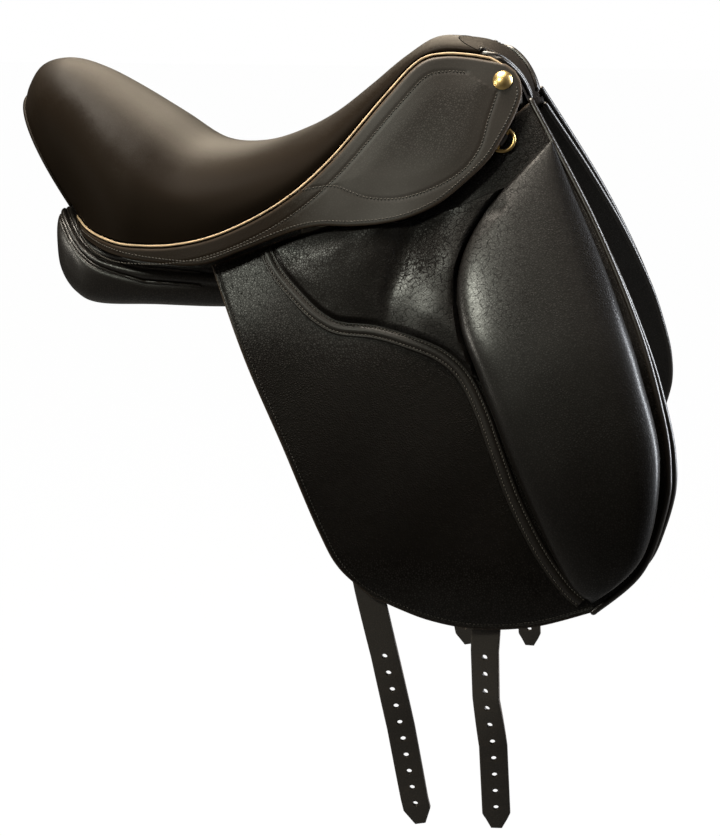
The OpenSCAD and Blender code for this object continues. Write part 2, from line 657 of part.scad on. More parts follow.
module billet(x, slant) {
    bend_r = side_r / pow(cos(slant), 2);
    bend_steps = 12;
    down = [-sin(side_tilt), -cos(side_tilt)];
    function bend(r, a) = [r * cos(a) - bend_r, -slope_run - r * sin(a)];
    function face(off) = concat([[off, billet_top]],
        [for (k = [0:bend_steps]) bend(bend_r + off, side_tilt * k / bend_steps)],
        [bend(bend_r + off, side_tilt) + billet_free * down]);
    outer = face(billet_t);
    color(black) at_side(x, pivot_z, 0) rotate([0, -slant, 0]) translate([0, billet_y, 0]) difference() {
        translate([-billet_w / 2, 0, 0]) rotate([90, 0, 90]) linear_extrude(billet_w)
            polygon(concat(face(0), [for (k = [len(outer) - 1:-1:0]) outer[k]]));
        translate([0, -bend_r, -slope_run]) rotate([-side_tilt, 0, 0]) translate([0, bend_r + billet_t, 0])
            billet_cuts();
    }
}

front_slant = 3.6;
rear_slant = 13.3;

module front_billet(side) {
    both(side) billet(front_pivot_x, front_slant);
}

module rear_billet(side) {
    both(side) billet(rear_pivot_x, rear_slant);
}

tree();
tree_springs();
head_plate();
girth_web_front();
girth_web_rear();
seat_web_long();
seat_web_cross();
seat_foam();
seat_cover();
pommel_facing();
cantle_back();
seat_welt(1);  // seat_welt_left
seat_welt(-1);  // seat_welt_right
panel(1);  // panel_left
panel(-1);  // panel_right
rear_gusset(1);  // rear_gusset_left
rear_gusset(-1);  // rear_gusset_right
sweat_flap(1);  // sweat_flap_left
sweat_flap(-1);  // sweat_flap_right
flap(1);  // flap_left
flap(-1);  // flap_right
flap_pad(1);  // flap_pad_left
flap_pad(-1);  // flap_pad_right
thigh_block(1);  // thigh_block_left
thigh_block(-1);  // thigh_block_right
flap_seam(1);  // flap_seam_left
flap_seam(-1);  // flap_seam_right
skirt(1);  // skirt_left
skirt(-1);  // skirt_right
skirt_lobe(1);  // skirt_lobe_left
skirt_lobe(-1);  // skirt_lobe_right
stud(1);  // stud_left
stud(-1);  // stud_right
stirrup_bar(1);  // stirrup_bar_left
stirrup_bar(-1);  // stirrup_bar_right
bar_latch(1);  // bar_latch_left
bar_latch(-1);  // bar_latch_right
latch_pin(1);  // latch_pin_left
latch_pin(-1);  // latch_pin_right
dee_tab(1);  // dee_tab_left
dee_tab(-1);  // dee_tab_right
dee_ring(1);  // dee_ring_left
dee_ring(-1);  // dee_ring_right
front_billet(1);  // front_billet_left
front_billet(-1);  // front_billet_right
rear_billet(1);  // rear_billet_left
rear_billet(-1);  // rear_billet_right
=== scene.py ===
"""Dressage saddle: leather, padding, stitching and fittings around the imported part."""

import math
from functools import partial

import bpy
import numpy as np
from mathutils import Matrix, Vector


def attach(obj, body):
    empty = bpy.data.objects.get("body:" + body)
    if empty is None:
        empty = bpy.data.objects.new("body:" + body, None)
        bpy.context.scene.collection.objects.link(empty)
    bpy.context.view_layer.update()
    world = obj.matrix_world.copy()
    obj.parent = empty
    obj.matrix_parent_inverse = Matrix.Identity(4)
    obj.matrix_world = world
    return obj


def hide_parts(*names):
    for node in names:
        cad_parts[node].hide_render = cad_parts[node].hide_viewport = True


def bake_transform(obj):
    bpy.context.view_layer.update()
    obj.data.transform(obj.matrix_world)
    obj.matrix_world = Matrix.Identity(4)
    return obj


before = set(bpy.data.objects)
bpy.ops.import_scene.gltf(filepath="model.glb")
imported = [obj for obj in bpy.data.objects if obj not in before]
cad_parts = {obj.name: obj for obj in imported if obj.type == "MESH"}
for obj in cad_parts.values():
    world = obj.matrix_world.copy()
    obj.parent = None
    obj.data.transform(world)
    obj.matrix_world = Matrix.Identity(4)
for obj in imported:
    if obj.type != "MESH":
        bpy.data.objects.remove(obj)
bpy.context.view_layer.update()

bl_info = {
    "name": "Dressage Saddle",
    "version": (1, 0, 0),
    "blender": (4, 5, 0),
    "location": "View3D > Sidebar > Saddle",
    "description": "Builds the leather, padding, stitching and fittings of a dressage saddle",
    "category": "Object",
}

MM = 0.001
TURN = 2 * math.pi
GOLDEN_ANGLE = 2.39996
SHARP = math.radians(45)
SIDES = (("left", 1.0), ("right", -1.0))
ROOT = "saddle_body"

# Sizes of the part in millimetres, as its source has them
TILT = math.radians(25)
HALF_W, BEND_Z, SIDE_R = 147.0, 10.0, 650.0
BEND_Y = HALF_W - SIDE_R * math.cos(TILT)
BEND_LOW = BEND_Z - SIDE_R * math.sin(TILT)
WRAP_X, WRAP_RUN, WRAP_DEPTH = -120.0, 68.0, 45.0
FLAP_T, SLOT_W, SWEAT_T = 4.0, 10.0, 3.0
SWEAT_OFF = -FLAP_T - SLOT_W
SKIRT_OFF, SKIRT_T = 16.0, 4.0
FLEX_X, FLEX_Z, FLEX_SLOPE, FLEX_ABOVE, FLEX_BELOW = -52.0, 40.0, 0.543, 6, 12
POMMEL_Z, DIP_Z, DIP_X, POMMEL_RUN = 230.0, 130.5, -43.0, 184.0
CANTLE_Z, CANTLE_RUN, SEAT_EDGE_Z, SEAT_FULL = 206.0, 185.0, 57.5, 2.4
EDGE_INSET = 2.0
GULLET_W, PANEL_FULL = 56.0, 2.8
STRAP_W, STRAP_T, STRAP_FREE, STRAP_TIP = 25.0, 4.0, 172.0, 14.0
STRAP_Z, STRAP_TOP, STRAP_LAG, STRAP_GAP = 42.0, 12.0, 5.0, 0.4
HOLES, HOLE_R, HOLE_STEP, FIRST_HOLE = 10, 2.5, 16, 20

# Thicknesses and offsets of the leather in millimetres
HIDE_T, LINING_INSET, CANTLE_PIPING, PANEL_PIPING = 2.5, 2.6, 3.2, 2.4
SEAT_PAD, BLOCK_HIGH, UNDER_PAD, UNDER_BAND = 17, 34, 0.2, 0.15
ROW_INSET, LOW_ROW_INSET = 5.0, 4.2

# Seat rows: run and rise as shares of the pommel's or cantle's, lead of the edge, height of the edge
FRONT_ROWS = np.array([[1.04, 0.99, 28, 0.928], [0.918, 0.975, 17, 0.939], [0.793, 0.818, 15, 0.896],
    [0.641, 0.58, 15, 0.722], [0.44, 0.297, 7, 0.409], [0.234, 0.106, 5, 0.211], [0, 0, 0, 0.067]])
REAR_ROWS = np.array([[0.227, 0.045, 0, 0.006], [0.443, 0.371, 0, 0], [0.66, 0.695, 15, 0.02],
    [0.82, 0.9, 30, 0.037], [0.957, 1, 45, 0.055]])
RIM_ROWS = np.array([[-12, -4, 58, 0.073], [-24, -20, 65, 0.083], [-28, -33, 66, 0.089]])

# Rows of the pommel facing after the seat's first: x and z of the crown, x and z of the edge
FACING_ROWS = [[171, 226, 189, 211], [188, 218, 198, 204], [203, 204, 206, 194], [212, 187, 214, 179],
    [213, 174, 221, 164], [203, 166, 226, 153]]
FACING_TRACK = [[0.01, 0.93], [0.1, 0.93], [0.2, 0.92], [0.33, 0.85], [0.46, 0.76], [0.57, 0.66],
    [0.66, 0.58], [0.73, 0.54]]

# Outlines on the sides as [x, z]
FLAP_REAR = [[-52, 38], [-15, -38.5], [23, -110], [55, -177], [74, -209], [103, -233]]
FLAP_FRONT = [[218, 178], [276, 84], [319, -3], [341.5, -70], [348.5, -110], [346.5, -143.5],
    [329.5, -195.5], [292.5, -233]]
FLAP_TOP = [[-52, 38], [20, 64], [85, 82], [110, 86], [160, 110], [186, 148], [218, 178]]
FLAP_BOTTOM = [[103, -233], [150, -250], [197, -255.5], [245, -249.5], [292.5, -233]]
BLOCK_REAR = [[237, 147], [190, 95], [167, 48], [170, 2], [191, -46], [228, -125], [267, -199], [289, -221]]
BLOCK_FRONT = [[239, 145.5], [259, 105], [284, 57], [304, 13], [322, -32], [341, -100], [332, -175],
    [292, -222]]
SEAM_LINE = [[-4, 52], [10, 32], [35, 9], [51, -2], [67, -8], [97, -10], [124, -16], [154, -26],
    [175, -42], [192, -70], [206, -102], [224, -143], [247, -184], [269, -213], [282, -224]]
PAD_LOW = [[-4, 50], [10, 31], [35, 8], [51, -3], [67, -9], [97, -11], [124, -17], [154, -27], [172, -38]]
PAD_HIGH = [[2, 57], [20, 63.5], [50, 71], [85, 80], [110, 85], [140, 98], [178, 120]]
PAD_FRONT = [[200, 108], [184, 84], [170, 50], [170, 20], [176, -8], [187, -43]]
SKIRT_LOW = [[-188, 60], [-164, 52.7], [-140, 47], [-103, 41.6], [-58, 40.5], [-19, 54], [19, 69],
    [44.5, 75], [71, 75.5], [97, 78], [122, 84], [147, 96], [171, 116], [187, 132.5], [198, 151],
    [206, 167.5], [211, 184], [209, 196]]
SKIRT_FRONT = [[186.0, 211.0], [196.0, 209.0], [204.0, 203.5]]
INSERT_LINE = [[190, 186], [184, 165], [178, 141], [164, 122], [138, 107], [111, 99], [86, 99], [71, 103],
    [54, 108], [28, 104], [14, 98]]
INSERT_REAR, INSERT_FRONT = 10, 185
WELT_FRONT = [[195.5, 206.2], [192, 208.6], [187.5, 211.2], [182, 213.8]]

# Thigh block: share of the width and of the height round its section, and height by its length
BLOCK_PROFILE = [[0.014, 0], [0, 0.16], [0.002, 0.42], [0.03, 0.66], [0.09, 0.84], [0.2, 0.95], [0.4, 1.0],
    [0.62, 1.0], [0.8, 0.97], [0.9, 0.89], [0.96, 0.77], [0.992, 0.6], [1.0, 0.38], [0.988, 0]]
BLOCK_RISE = [[0, 0.12, 0.3, 0.5, 0.7, 0.85, 0.95, 1], [0.1, 0.26, 0.6, 0.9, 1.0, 0.86, 0.5, 0.12]]

# Panel rows: x, place across, z, half width, half height, turn in degrees
PANEL_ROWS = np.array([[-209, 42, 53, 12, 17, 0], [-203, 43, 46, 32, 30, 2], [-188, 45, 35, 43, 35, 4],
    [-164, 49, 25, 49, 30, 7], [-110, 50, 24, 50, 26, 10], [-43, 47, 26, 48, 25, 18],
    [30, 43, 36, 45, 23, 34], [90, 45, 50, 45, 22, 52], [150, 45, 67, 46, 22, 63],
    [178, 44, 77, 45, 19, 65], [188, 44, 79, 34, 10, 65]])
# Gusset seams on the panel: share of its length, and angle round its section in degrees
PANEL_SEAMS = (([0, 0.09, 0.21, 0.28, 0.33, 0.39, 0.48], [110, 92, 55, 48, 39, 31, 33]),
    ([0, 0.1, 0.2, 0.28, 0.33, 0.39, 0.48], [80, 58, 33, 28, 18, 6, 8]))

# Billets: pivot along x, slant, and by length run the sway along x, the sway outwards, the twist in degrees
STRAPS = {
    "front": (185.0, math.radians(3.6), ([0, 300, 340, 385, 430, 500, 530], [0, 0, -3.5, -4.0, 0.5, 1.0, 0],
        [0, 0, 1, 2, 0.5, -0.5, 0], [0, 0, 12, 18, -6, -4, 0])),
    "rear": (35.0, math.radians(13.3), ([0, 300, 360, 430, 500, 530], [0, 0, 1.5, 1.5, -0.5, 0],
        [0, 0, 1.5, 0, 1, 0], [0, 0, 8, -6, 6, 4])),
}

# Seat polish by share of the way from the crown to the edge: how dull the leather is
SEAT_DULL = ([0, 0.08, 0.2, 0.35, 0.5, 0.65, 0.8, 0.95], [0.05, 0.14, 0.3, 0.46, 0.58, 0.69, 0.8, 0.88])

# Nodes that show as the part has them, by the start of their names
WEAR = {"stud": "brass", "dee_ring": "brass", "stirrup_bar": "steel", "bar_latch": "steel",
    "latch_pin": "steel", "head_plate": "steel", "tree_springs": "steel", "girth_web": "web_cloth",
    "seat_web": "web_cloth", "dee_tab": "smooth_leather", "tree": "raw_wood"}

# Camera fitted to the photograph, and lamps: place, aim, size, power, colour
AZIMUTH, ELEVATION, DISTANCE = math.radians(10), math.radians(16), 1.5
TARGET = (67.286, -60.0, -115.370)
FOCAL_PX, LONG_SIDE_PX, SENSOR = 1611.546, 836, 36.0
LAMPS = {
    "top_lamp": ((-0.3, 0.15, 1.9), (0, 0, 0), (1.0, 0.8), 115, (1.0, 0.91, 0.78)),
    "key_lamp": ((-0.85, -1.31, 1.32), (0.15, -0.15, 0.02), (0.3, 0.3), 27, (0.98, 1.0, 0.86)),
    "left_lamp": ((-1.75, -0.8, 0.3), (-0.1, -0.1, 0.05), (0.4, 0.6), 14, (1.0, 0.95, 0.84)),
    "window_lamp": ((1.6, 0.25, 0.45), (0.3, -0.2, -0.05), (0.3, 1.7), 60, (0.9, 0.94, 1.0)),
    "far_lamp": ((-0.2, 1.5, 1.35), (0.1, 0, 0), (1.2, 0.8), 28, (1.0, 0.84, 0.63)),
}
FLOOR_HALF, FLOOR_Z = 20.0, -1.1
WHITE, WARM_SKY = (1, 1, 1, 1), (1.0, 0.9, 0.76, 1)


# Curves, sides and grids

def curve(points, t):
    """Smooth curve through points: a cubic on each span, its end slopes from the neighbouring points."""
    p = np.asarray(points, float)
    n = len(p) - 1
    t = np.clip(np.asarray(t, float), 0, 1) * n
    i = np.clip(np.floor(t).astype(int), 0, n - 1)
    f = (t - i)[..., None]
    a, b, c, d = p[np.maximum(i - 1, 0)], p[i], p[i + 1], p[np.minimum(i + 2, n)]
    return 0.5 * (2 * b + (c - a) * f + (2 * a - 5 * b + 4 * c - d) * f**2 + (3 * b - a - 3 * c + d) * f**3)


def unit(v):
    """Vectors divided by their lengths."""
    return v / np.maximum(np.linalg.norm(v, axis=-1, keepdims=True), 1e-9)


def run_of(points):
    """Length run along a line of points, from 0 at its start."""
    return np.concatenate([[0], np.cumsum(np.linalg.norm(np.diff(points, axis=0), axis=1))])


def picked(at, run, values):
    """Rows of values at given places of a run, straight between its points."""
    return np.stack([np.interp(at, run, column) for column in values.T], 1)


def even(points, step):
    """Points at equal steps of length along the smooth curve through the given ones."""
    p = curve(points, np.linspace(0, 1, 24 * len(points)))
    run = run_of(p)
    return picked(np.linspace(0, run[-1], max(2, int(round(run[-1] / step)) + 1)), run, p)


def patch(rear, front, top, bottom, s, t):
    """Surface between four edge curves: both rulings added, less the ruling of the four corners."""
    r, f = curve(rear, t)[:, None], curve(front, t)[:, None]
    u, d = curve(top, s)[None], curve(bottom, s)[None]
    s, t = s[None, :, None], t[:, None, None]
    corners = (r[0] * (1 - s) + f[0] * s) * (1 - t) + (r[-1] * (1 - s) + f[-1] * s) * t
    return r * (1 - s) + f * s + u * (1 - t) + d * t - corners


def edged(n, size, edge=5.0):
    """Values from 0 to 1 in n steps, with extra ones close to both ends, for a rounded edge."""
    near = np.array([0, 0.25, 0.8, 1.7, 3.0]) * edge / 5 / size
    middle = np.linspace(edge / size, 1 - edge / size, n)
    return np.concatenate([near, middle, 1 - near[::-1]])


def smooth(x, low, high):
    """Smooth step: 0 below low, 1 above high, a cubic between."""
    f = np.clip((np.asarray(x, float) - low) / (high - low), 0, 1)
    return f * f * (3 - 2 * f)


def bell(x, width):
    """Bell curve: 1 at zero, falling with the square of the distance over its width."""
    return np.exp(-((x / width) ** 2))


def power(x, n):
    """Power of a value's size, with the value's sign kept."""
    return np.sign(x) * np.abs(x) ** n


def reach(xz, line):
    """Distance from each point to a line of points: the least distance to any of its segments."""
    line = np.asarray(line, float)
    p = np.asarray(xz, float).reshape(-1, 1, 2)
    a, d = line[None, :-1], np.diff(line, axis=0)[None]
    f = np.clip(((p - a) * d).sum(-1) / np.maximum((d * d).sum(-1), 1e-9), 0, 1)
    return np.linalg.norm(p - a - f[..., None] * d, axis=-1).min(1).reshape(np.shape(xz)[:-1])


def within(xz, loop):
    """True for points inside a closed loop: a ray from the point crosses the loop an odd number of times."""
    a, b = loop, np.roll(loop, -1, 0)
    x, z = xz[..., 0, None], xz[..., 1, None]
    crossing = (a[:, 1] > z) != (b[:, 1] > z)
    at = (b[:, 0] - a[:, 0]) * (z - a[:, 1]) / (b[:, 1] - a[:, 1] + 1e-12) + a[:, 0]
    return (crossing & (x < at)).sum(-1) % 2 == 1


def leftward(line):
    """Directions square to a line in [x, z], to the left of its run."""
    d = unit(np.gradient(line, axis=0))
    return np.stack([-d[:, 1], d[:, 0]], 1)


def beside(line, off):
    """The line moved sideways by off, to the left of its run."""
    return line + off * leftward(line)


def side_y(z):
    """Half width over the flaps: a sloped plane above the bend, a circle below it."""
    low = np.clip(z, BEND_LOW, BEND_Z)
    return np.where(z >= BEND_Z, HALF_W - (z - BEND_Z) * math.tan(TILT),
        BEND_Y + np.sqrt(SIDE_R**2 - (low - BEND_LOW) ** 2))


def on_side(xz, off):
    """Points on the side at [x, z], off further out; the rear wraps in with the square of the distance."""
    xz = np.asarray(xz, float)
    x, z = xz[..., 0], xz[..., 1]
    wrap = WRAP_DEPTH * (np.maximum(WRAP_X - x, 0) / WRAP_RUN) ** 2
    return np.stack([x, side_y(z) + off - wrap, z], -1)


def side_normal(xz):
    """Outward direction of the side at [x, z], from its slopes along x and z."""
    h = 0.5
    gx, gz = ((on_side(xz + step, 0) - on_side(xz - step, 0))[..., 1] / (2 * h)
        for step in (np.array([h, 0]), np.array([0, h])))
    return unit(np.stack([-gx, np.ones_like(gx), -gz], -1))


def normals(grid):
    """Unit normals of a grid of points: the cross product of its two slopes."""
    return unit(np.cross(np.gradient(grid, axis=0), np.gradient(grid, axis=1)))


def ripple(xz, waves):
    """Sum of sine waves over [x, z], each given as wave length along x and z, phase and height."""
    x, z = xz[..., 0], xz[..., 1]
    return sum(h * np.sin(TURN * (x / lx + z / lz) + p) for lx, lz, p, h in waves)


def tumble(xz, length, height, seed):
    """Irregular waves over [x, z]: forty sines of about one length in directions a golden angle apart."""
    k = np.arange(40)
    angle, phase = k * GOLDEN_ANGLE + seed, k * 1.7 * seed
    scale = TURN / length * (0.7 + 0.6 * ((k * 0.618 + seed) % 1))
    waves = [np.sin(xz[..., 0] * f * math.cos(a) + xz[..., 1] * f * math.sin(a) + p)
        for f, a, p in zip(scale, angle, phase)]
    return height * np.sum(waves, 0) / math.sqrt(len(k) / 2)


# Solids

def rim(grid):
    """Values round the border of a grid, in order."""
    return np.concatenate([grid[0, :-1], grid[:-1, -1], grid[-1, :0:-1], grid[:0:-1, 0]])


def skin(outer, inner):
    """Closed solid between two grids of points, joined by a strip round their rims."""
    n, m = outer.shape[:2]
    k = np.arange(n * m).reshape(n, m)
    face = np.stack([k[:-1, :-1], k[:-1, 1:], k[1:, 1:], k[1:, :-1]], -1).reshape(-1, 4)
    edge = rim(k)
    strip = np.stack([np.roll(edge, -1), edge, edge + n * m, np.roll(edge, -1) + n * m], -1)
    points = np.concatenate([outer.reshape(-1, 3), inner.reshape(-1, 3)])
    return points, [np.concatenate([face, face[:, ::-1] + n * m, strip])]


def rounded(xz, top, under, roll):
    """Sheet on the side: grids of its faces, which meet in a half circle, and the distance to its outline."""
    outline = rim(xz)
    outline = np.concatenate([outline, outline[:1]])
    # Eight runs of the outline, and segments near where they meet, so that no array grows too large
    runs = 8
    step = len(outline) // runs
    parts = np.array_split(outline, runs) + [outline[k - 1:k + 1] for k in range(step, len(outline), step)]
    d = np.minimum.reduce([reach(xz, part) for part in parts])
    share = np.sqrt(np.clip(1 - (1 - np.clip(d / roll, 0, 1)) ** 2, 0.02, 1))
    middle, half = (top + under) / 2, (top - under) / 2
    return on_side(xz, middle + half * share), on_side(xz, middle - half * share), d


def loft(rings):
    """Solid through rings of points, closed at both ends by a face."""
    n, m = rings.shape[:2]
    k = np.arange(n * m).reshape(n, m)
    a, b = k[:-1], k[1:]
    wall = np.stack([a, np.roll(a, -1, 1), np.roll(b, -1, 1), b], -1).reshape(-1, 4)
    return rings.reshape(-1, 3), [wall, np.stack([k[0, ::-1], k[-1]])]


def tube(path, across, width, sides=10):
    """Round rod along a path with domed ends: circles square to the path, smaller beyond its ends."""
    t = unit(np.gradient(path, axis=0))
    dome, size = np.array([0.9, 0.55]) * width / 2, np.array([0.35, 0.8])
    size = np.concatenate([size, np.ones(len(path)), size[::-1]])
    p = np.concatenate([path[:1] - dome[:, None] * t[:1], path, path[-1:] + dome[::-1, None] * t[-1:]])
    pad = ((2, 2), (0, 0))
    t, b = (np.pad(v, pad, mode="edge") for v in (t, np.broadcast_to(across, path.shape)))
    a = unit(np.cross(b, t))
    b = np.cross(t, a)
    w = np.linspace(0, TURN, sides, endpoint=False)[None, :, None]
    ring = (np.cos(w) * a[:, None] + np.sin(w) * b[:, None]) * width / 2
    return loft(p[:, None] + size[:, None, None] * ring)


def stitches(path, up):
    """Row of thread stitches: bent rods at equal steps of a path, raised in the middle, sunk at the ends."""
    sizes = bpy.context.scene.saddle_sizes
    length, pitch, thick = sizes.stitch_length / MM, sizes.stitch_pitch / MM, sizes.thread_width / MM
    run = run_of(path)
    s = np.arange(pitch / 2, run[-1], pitch)
    p, n, t = (picked(s, run, v) for v in (path, up, np.gradient(path, axis=0)))
    n, t = unit(n), unit(t)
    b = np.cross(n, t)
    rings = sides = 6
    along = np.linspace(-1, 1, rings)[:, None]
    w = np.linspace(0, TURN, sides, endpoint=False)
    fat = thick / 2 * np.array([0.6, 0.95, 1.0, 1.0, 0.95, 0.6])[:, None]
    lift, slant = thick * (0.55 - 1.1 * along**4), 0.12
    x = np.broadcast_to(along * length / 2, (rings, sides))
    rod = np.stack([x, fat * np.cos(w) + slant * x, lift + fat * np.sin(w)], -1)
    faces = loft(rod)[1]
    rod = rod.reshape(1, -1, 3)
    points = p[:, None] + rod[..., :1] * t[:, None] + rod[..., 1:2] * b[:, None] + rod[..., 2:] * n[:, None]
    step = np.arange(len(s))[:, None, None] * rings * sides
    return points.reshape(-1, 3), [(f[None] + step).reshape(-1, f.shape[1]) for f in faces]


def joined(parts):
    """Several solids as one."""
    start, points, faces = 0, [], []
    for p, fs in parts:
        faces += [f + start for f in fs]
        points.append(p)
        start += len(p)
    return np.concatenate(points), faces


def signed_volume(points, faces):
    """Six times the volume inside the faces, negative where they point inwards."""
    total = 0.0
    for f in faces:
        for k in range(1, f.shape[1] - 1):
            total += np.einsum("ij,ij", points[f[:, 0]], np.cross(points[f[:, k]], points[f[:, k + 1]]))
    return total


def mesh_of(name, solid, side):
    """Mesh of a solid in millimetres, mirrored to its side, with its faces turned outwards."""
    points, faces = solid
    points = points * [1, side, 1] * MM
    if signed_volume(points, faces) < 0:
        faces = [f[:, ::-1] for f in faces]
    mesh = bpy.data.meshes.new(name)
    mesh.from_pydata(points.tolist(), [], [row for f in faces for row in f.tolist()])
    return mesh


def placed(name, data):
    """New object at the origin with this data."""
    item = bpy.data.objects.new(name, data)
    bpy.context.scene.collection.objects.link(item)
    return item


def make(name, solid, finish=None, side=1.0, **layers):
    """New piece from a solid, with a finish and layers of values on its points.

    A layer's values are repeated to fill the piece: one number all over, an outer grid's for the inner one.
    """
    mesh = mesh_of(name, solid, side)
    for layer, values in layers.items():
        data = np.resize(np.asarray(values, np.float32), len(mesh.vertices))
        mesh.attributes.new(layer, "FLOAT", "POINT").data.foreach_set("value", data)
    mesh.update()
    mesh.shade_smooth()
    mesh.set_sharp_from_angle(angle=SHARP)
    if finish:
        mesh.materials.append(finished(finish))
    return placed(name, mesh)


def settle(piece, body, replaces=()):
    """Piece rides on a body and stands for its nodes, which are hidden."""
    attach(piece, body)
    if replaces:
        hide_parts(*replaces)


# Padding

def resampled(grid, rows, columns):
    """Grid of points or moves with other counts of rows and columns, on smooth curves through it."""
    n, m = grid.shape[:2]
    tall = curve(grid.reshape(n, -1), np.linspace(0, 1, rows)).reshape(rows, m, 3).swapaxes(0, 1)
    wide = curve(tall.reshape(m, -1), np.linspace(0, 1, columns)).reshape(columns, rows, 3)
    return wide.swapaxes(0, 1)


def blown(solid, held, pressure, limit):
    """Moves of a solid's points, at most limit: cloth under pressure from inside, with some points held."""
    points = solid[0]
    cushion = make("cushion", solid)
    cushion.vertex_groups.new(name="held").add(np.flatnonzero(held).tolist(), 1.0, "REPLACE")
    cloth = cushion.modifiers.new("cloth", "CLOTH")
    rules = cloth.settings
    rules.quality, rules.mass, rules.time_scale = 6, 0.3, 1.0
    rules.tension_stiffness = rules.compression_stiffness = 25
    rules.shear_stiffness, rules.bending_stiffness = 12, 4
    rules.use_pressure, rules.uniform_pressure_force = True, pressure
    rules.vertex_group_mass = "held"
    rules.effector_weights.gravity = 0
    cloth.collision_settings.use_collision = False
    scene = bpy.context.scene
    for frame_number in range(1, 21):
        scene.frame_set(frame_number)
    result = cushion.evaluated_get(bpy.context.evaluated_depsgraph_get()).to_mesh()
    moved = np.zeros(3 * len(points))
    result.vertices.foreach_get("co", moved)
    scene.frame_set(1)
    bpy.data.objects.remove(cushion)
    move = moved.reshape(-1, 3) / MM - points
    length = np.linalg.norm(move, axis=1, keepdims=True)
    return move * np.minimum(1, limit / np.maximum(length, 1e-6))


def swelled(outer, inner, rows, columns, pressure, limit):
    """A padded grid after its leather is blown up like a cushion, held at its rim and inner side."""
    coarse = skin(resampled(outer, rows, columns), resampled(inner, rows, columns))
    held = np.ones((2, rows, columns), bool)
    held[0, 1:-1, 1:-1] = False
    move = blown(coarse, held, pressure, limit)[:rows * columns].reshape(rows, columns, 3)
    return outer + resampled(move, *outer.shape[:2])


# Finishes

class Tone:
    """A socket for Python expressions: each operator adds one Math node to its tree."""

    def __init__(self, tree, socket):
        self.tree, self.socket = tree, socket

    def node(self, kind, settings=None, inputs=None, out=0):
        """Any node: its settings first, then the values or links of its sockets; gives one of its outputs."""
        node = self.tree.nodes.new(kind)
        for key, value in (settings or {}).items():
            if key == "stops":
                while len(node.color_ramp.elements) < len(value):
                    node.color_ramp.elements.new(0.5)
                for element, (place, colour) in zip(node.color_ramp.elements, value):
                    element.position, element.color = place, colour
            else:
                setattr(node, key, value)
        for key, value in (inputs or {}).items():
            if isinstance(value, Tone):
                self.tree.links.new(value.socket, node.inputs[key])
            else:
                node.inputs[key].default_value = value
        return Tone(self.tree, node.outputs[out])

    def math(self, operation, *values):
        """Math node with these values."""
        return self.node("ShaderNodeMath", {"operation": operation}, dict(enumerate(values)))

    def __add__(self, other):
        return self.math("ADD", self, other)

    def __sub__(self, other):
        return self.math("SUBTRACT", self, other)

    def __rsub__(self, other):
        return self.math("SUBTRACT", other, self)

    def __mul__(self, other):
        return self.math("MULTIPLY", self, other)

    __radd__, __rmul__ = __add__, __mul__

    def wave(self):
        """Sine of the value."""
        return self.math("SINE", self)

    def held(self):
        """The value kept between 0 and 1."""
        return self.node("ShaderNodeClamp", None, {0: self})

    def noise(self, scale, detail=3.0, rough=0.5):
        """Cloudy noise at this place."""
        return self.node("ShaderNodeTexNoise", None,
            {"Vector": self, "Scale": scale, "Detail": detail, "Roughness": rough})

    def cells(self, scale):
        """Distance to the nearest border of irregular cells at this place."""
        return self.node("ShaderNodeTexVoronoi", {"feature": "DISTANCE_TO_EDGE"},
            {"Vector": self, "Scale": scale})

    def mapped(self, **inputs):
        """This place turned and scaled."""
        return self.node("ShaderNodeMapping", None, {"Vector": self, **inputs})

    def moved(self, by, amount):
        """This place pushed by a colour's three values, less one half, times amount."""
        centred = self.node("ShaderNodeVectorMath", {"operation": "SUBTRACT"}, {0: by, 1: (0.5, 0.5, 0.5)})
        return self.node("ShaderNodeVectorMath", {"operation": "MULTIPLY_ADD"},
            {0: centred, 1: (amount,) * 3, 2: self})

    def mix(self, low, high):
        """Colour between low and high by this value."""
        return self.node("ShaderNodeMix", {"data_type": "RGBA"}, {0: self, 6: low, 7: high}, 2)

    def ramp(self, *stops):
        """Colour by this value, between stops of place and colour."""
        return self.node("ShaderNodeValToRGB", {"stops": stops}, {0: self})

    def bump(self, depth):
        """Surface normal from this height, depth in millimetres from 0 to 1."""
        return self.node("ShaderNodeBump", None, {"Height": self, "Distance": depth * MM, "Strength": 1.0})

    def layer(self, name):
        """Values of a piece's layer, 0 where it has none."""
        return self.node("ShaderNodeAttribute", {"attribute_name": name}, None, "Fac")


def surface(name, **fixed):
    """New material, its shader with fixed values, and its Object coordinates."""
    material = bpy.data.materials.new(name)
    material.use_nodes = True
    tree = material.node_tree
    shader = tree.nodes["Principled BSDF"]
    for key, value in fixed.items():
        shader.inputs[key.replace("_", " ")].default_value = value
    return material, shader, Tone(tree, tree.nodes.new("ShaderNodeTexCoord").outputs["Object"])


def feed(shader, **tones):
    """Links tones to the shader's sockets of those names."""
    for key, tone in tones.items():
        tone.tree.links.new(tone.socket, shader.inputs[key.replace("_", " ")])


def finished(name):
    """Material of that finish, made on first use."""
    label = f"{name}_finish"
    return bpy.data.materials.get(label) or FINISHES[name](label)


def colours():
    """The scene's colours."""
    return bpy.context.scene.saddle_colours


def shade(colour, factor):
    """Colour times a factor, at most white."""
    return (*(min(1.0, c * factor) for c in colour), 1.0)


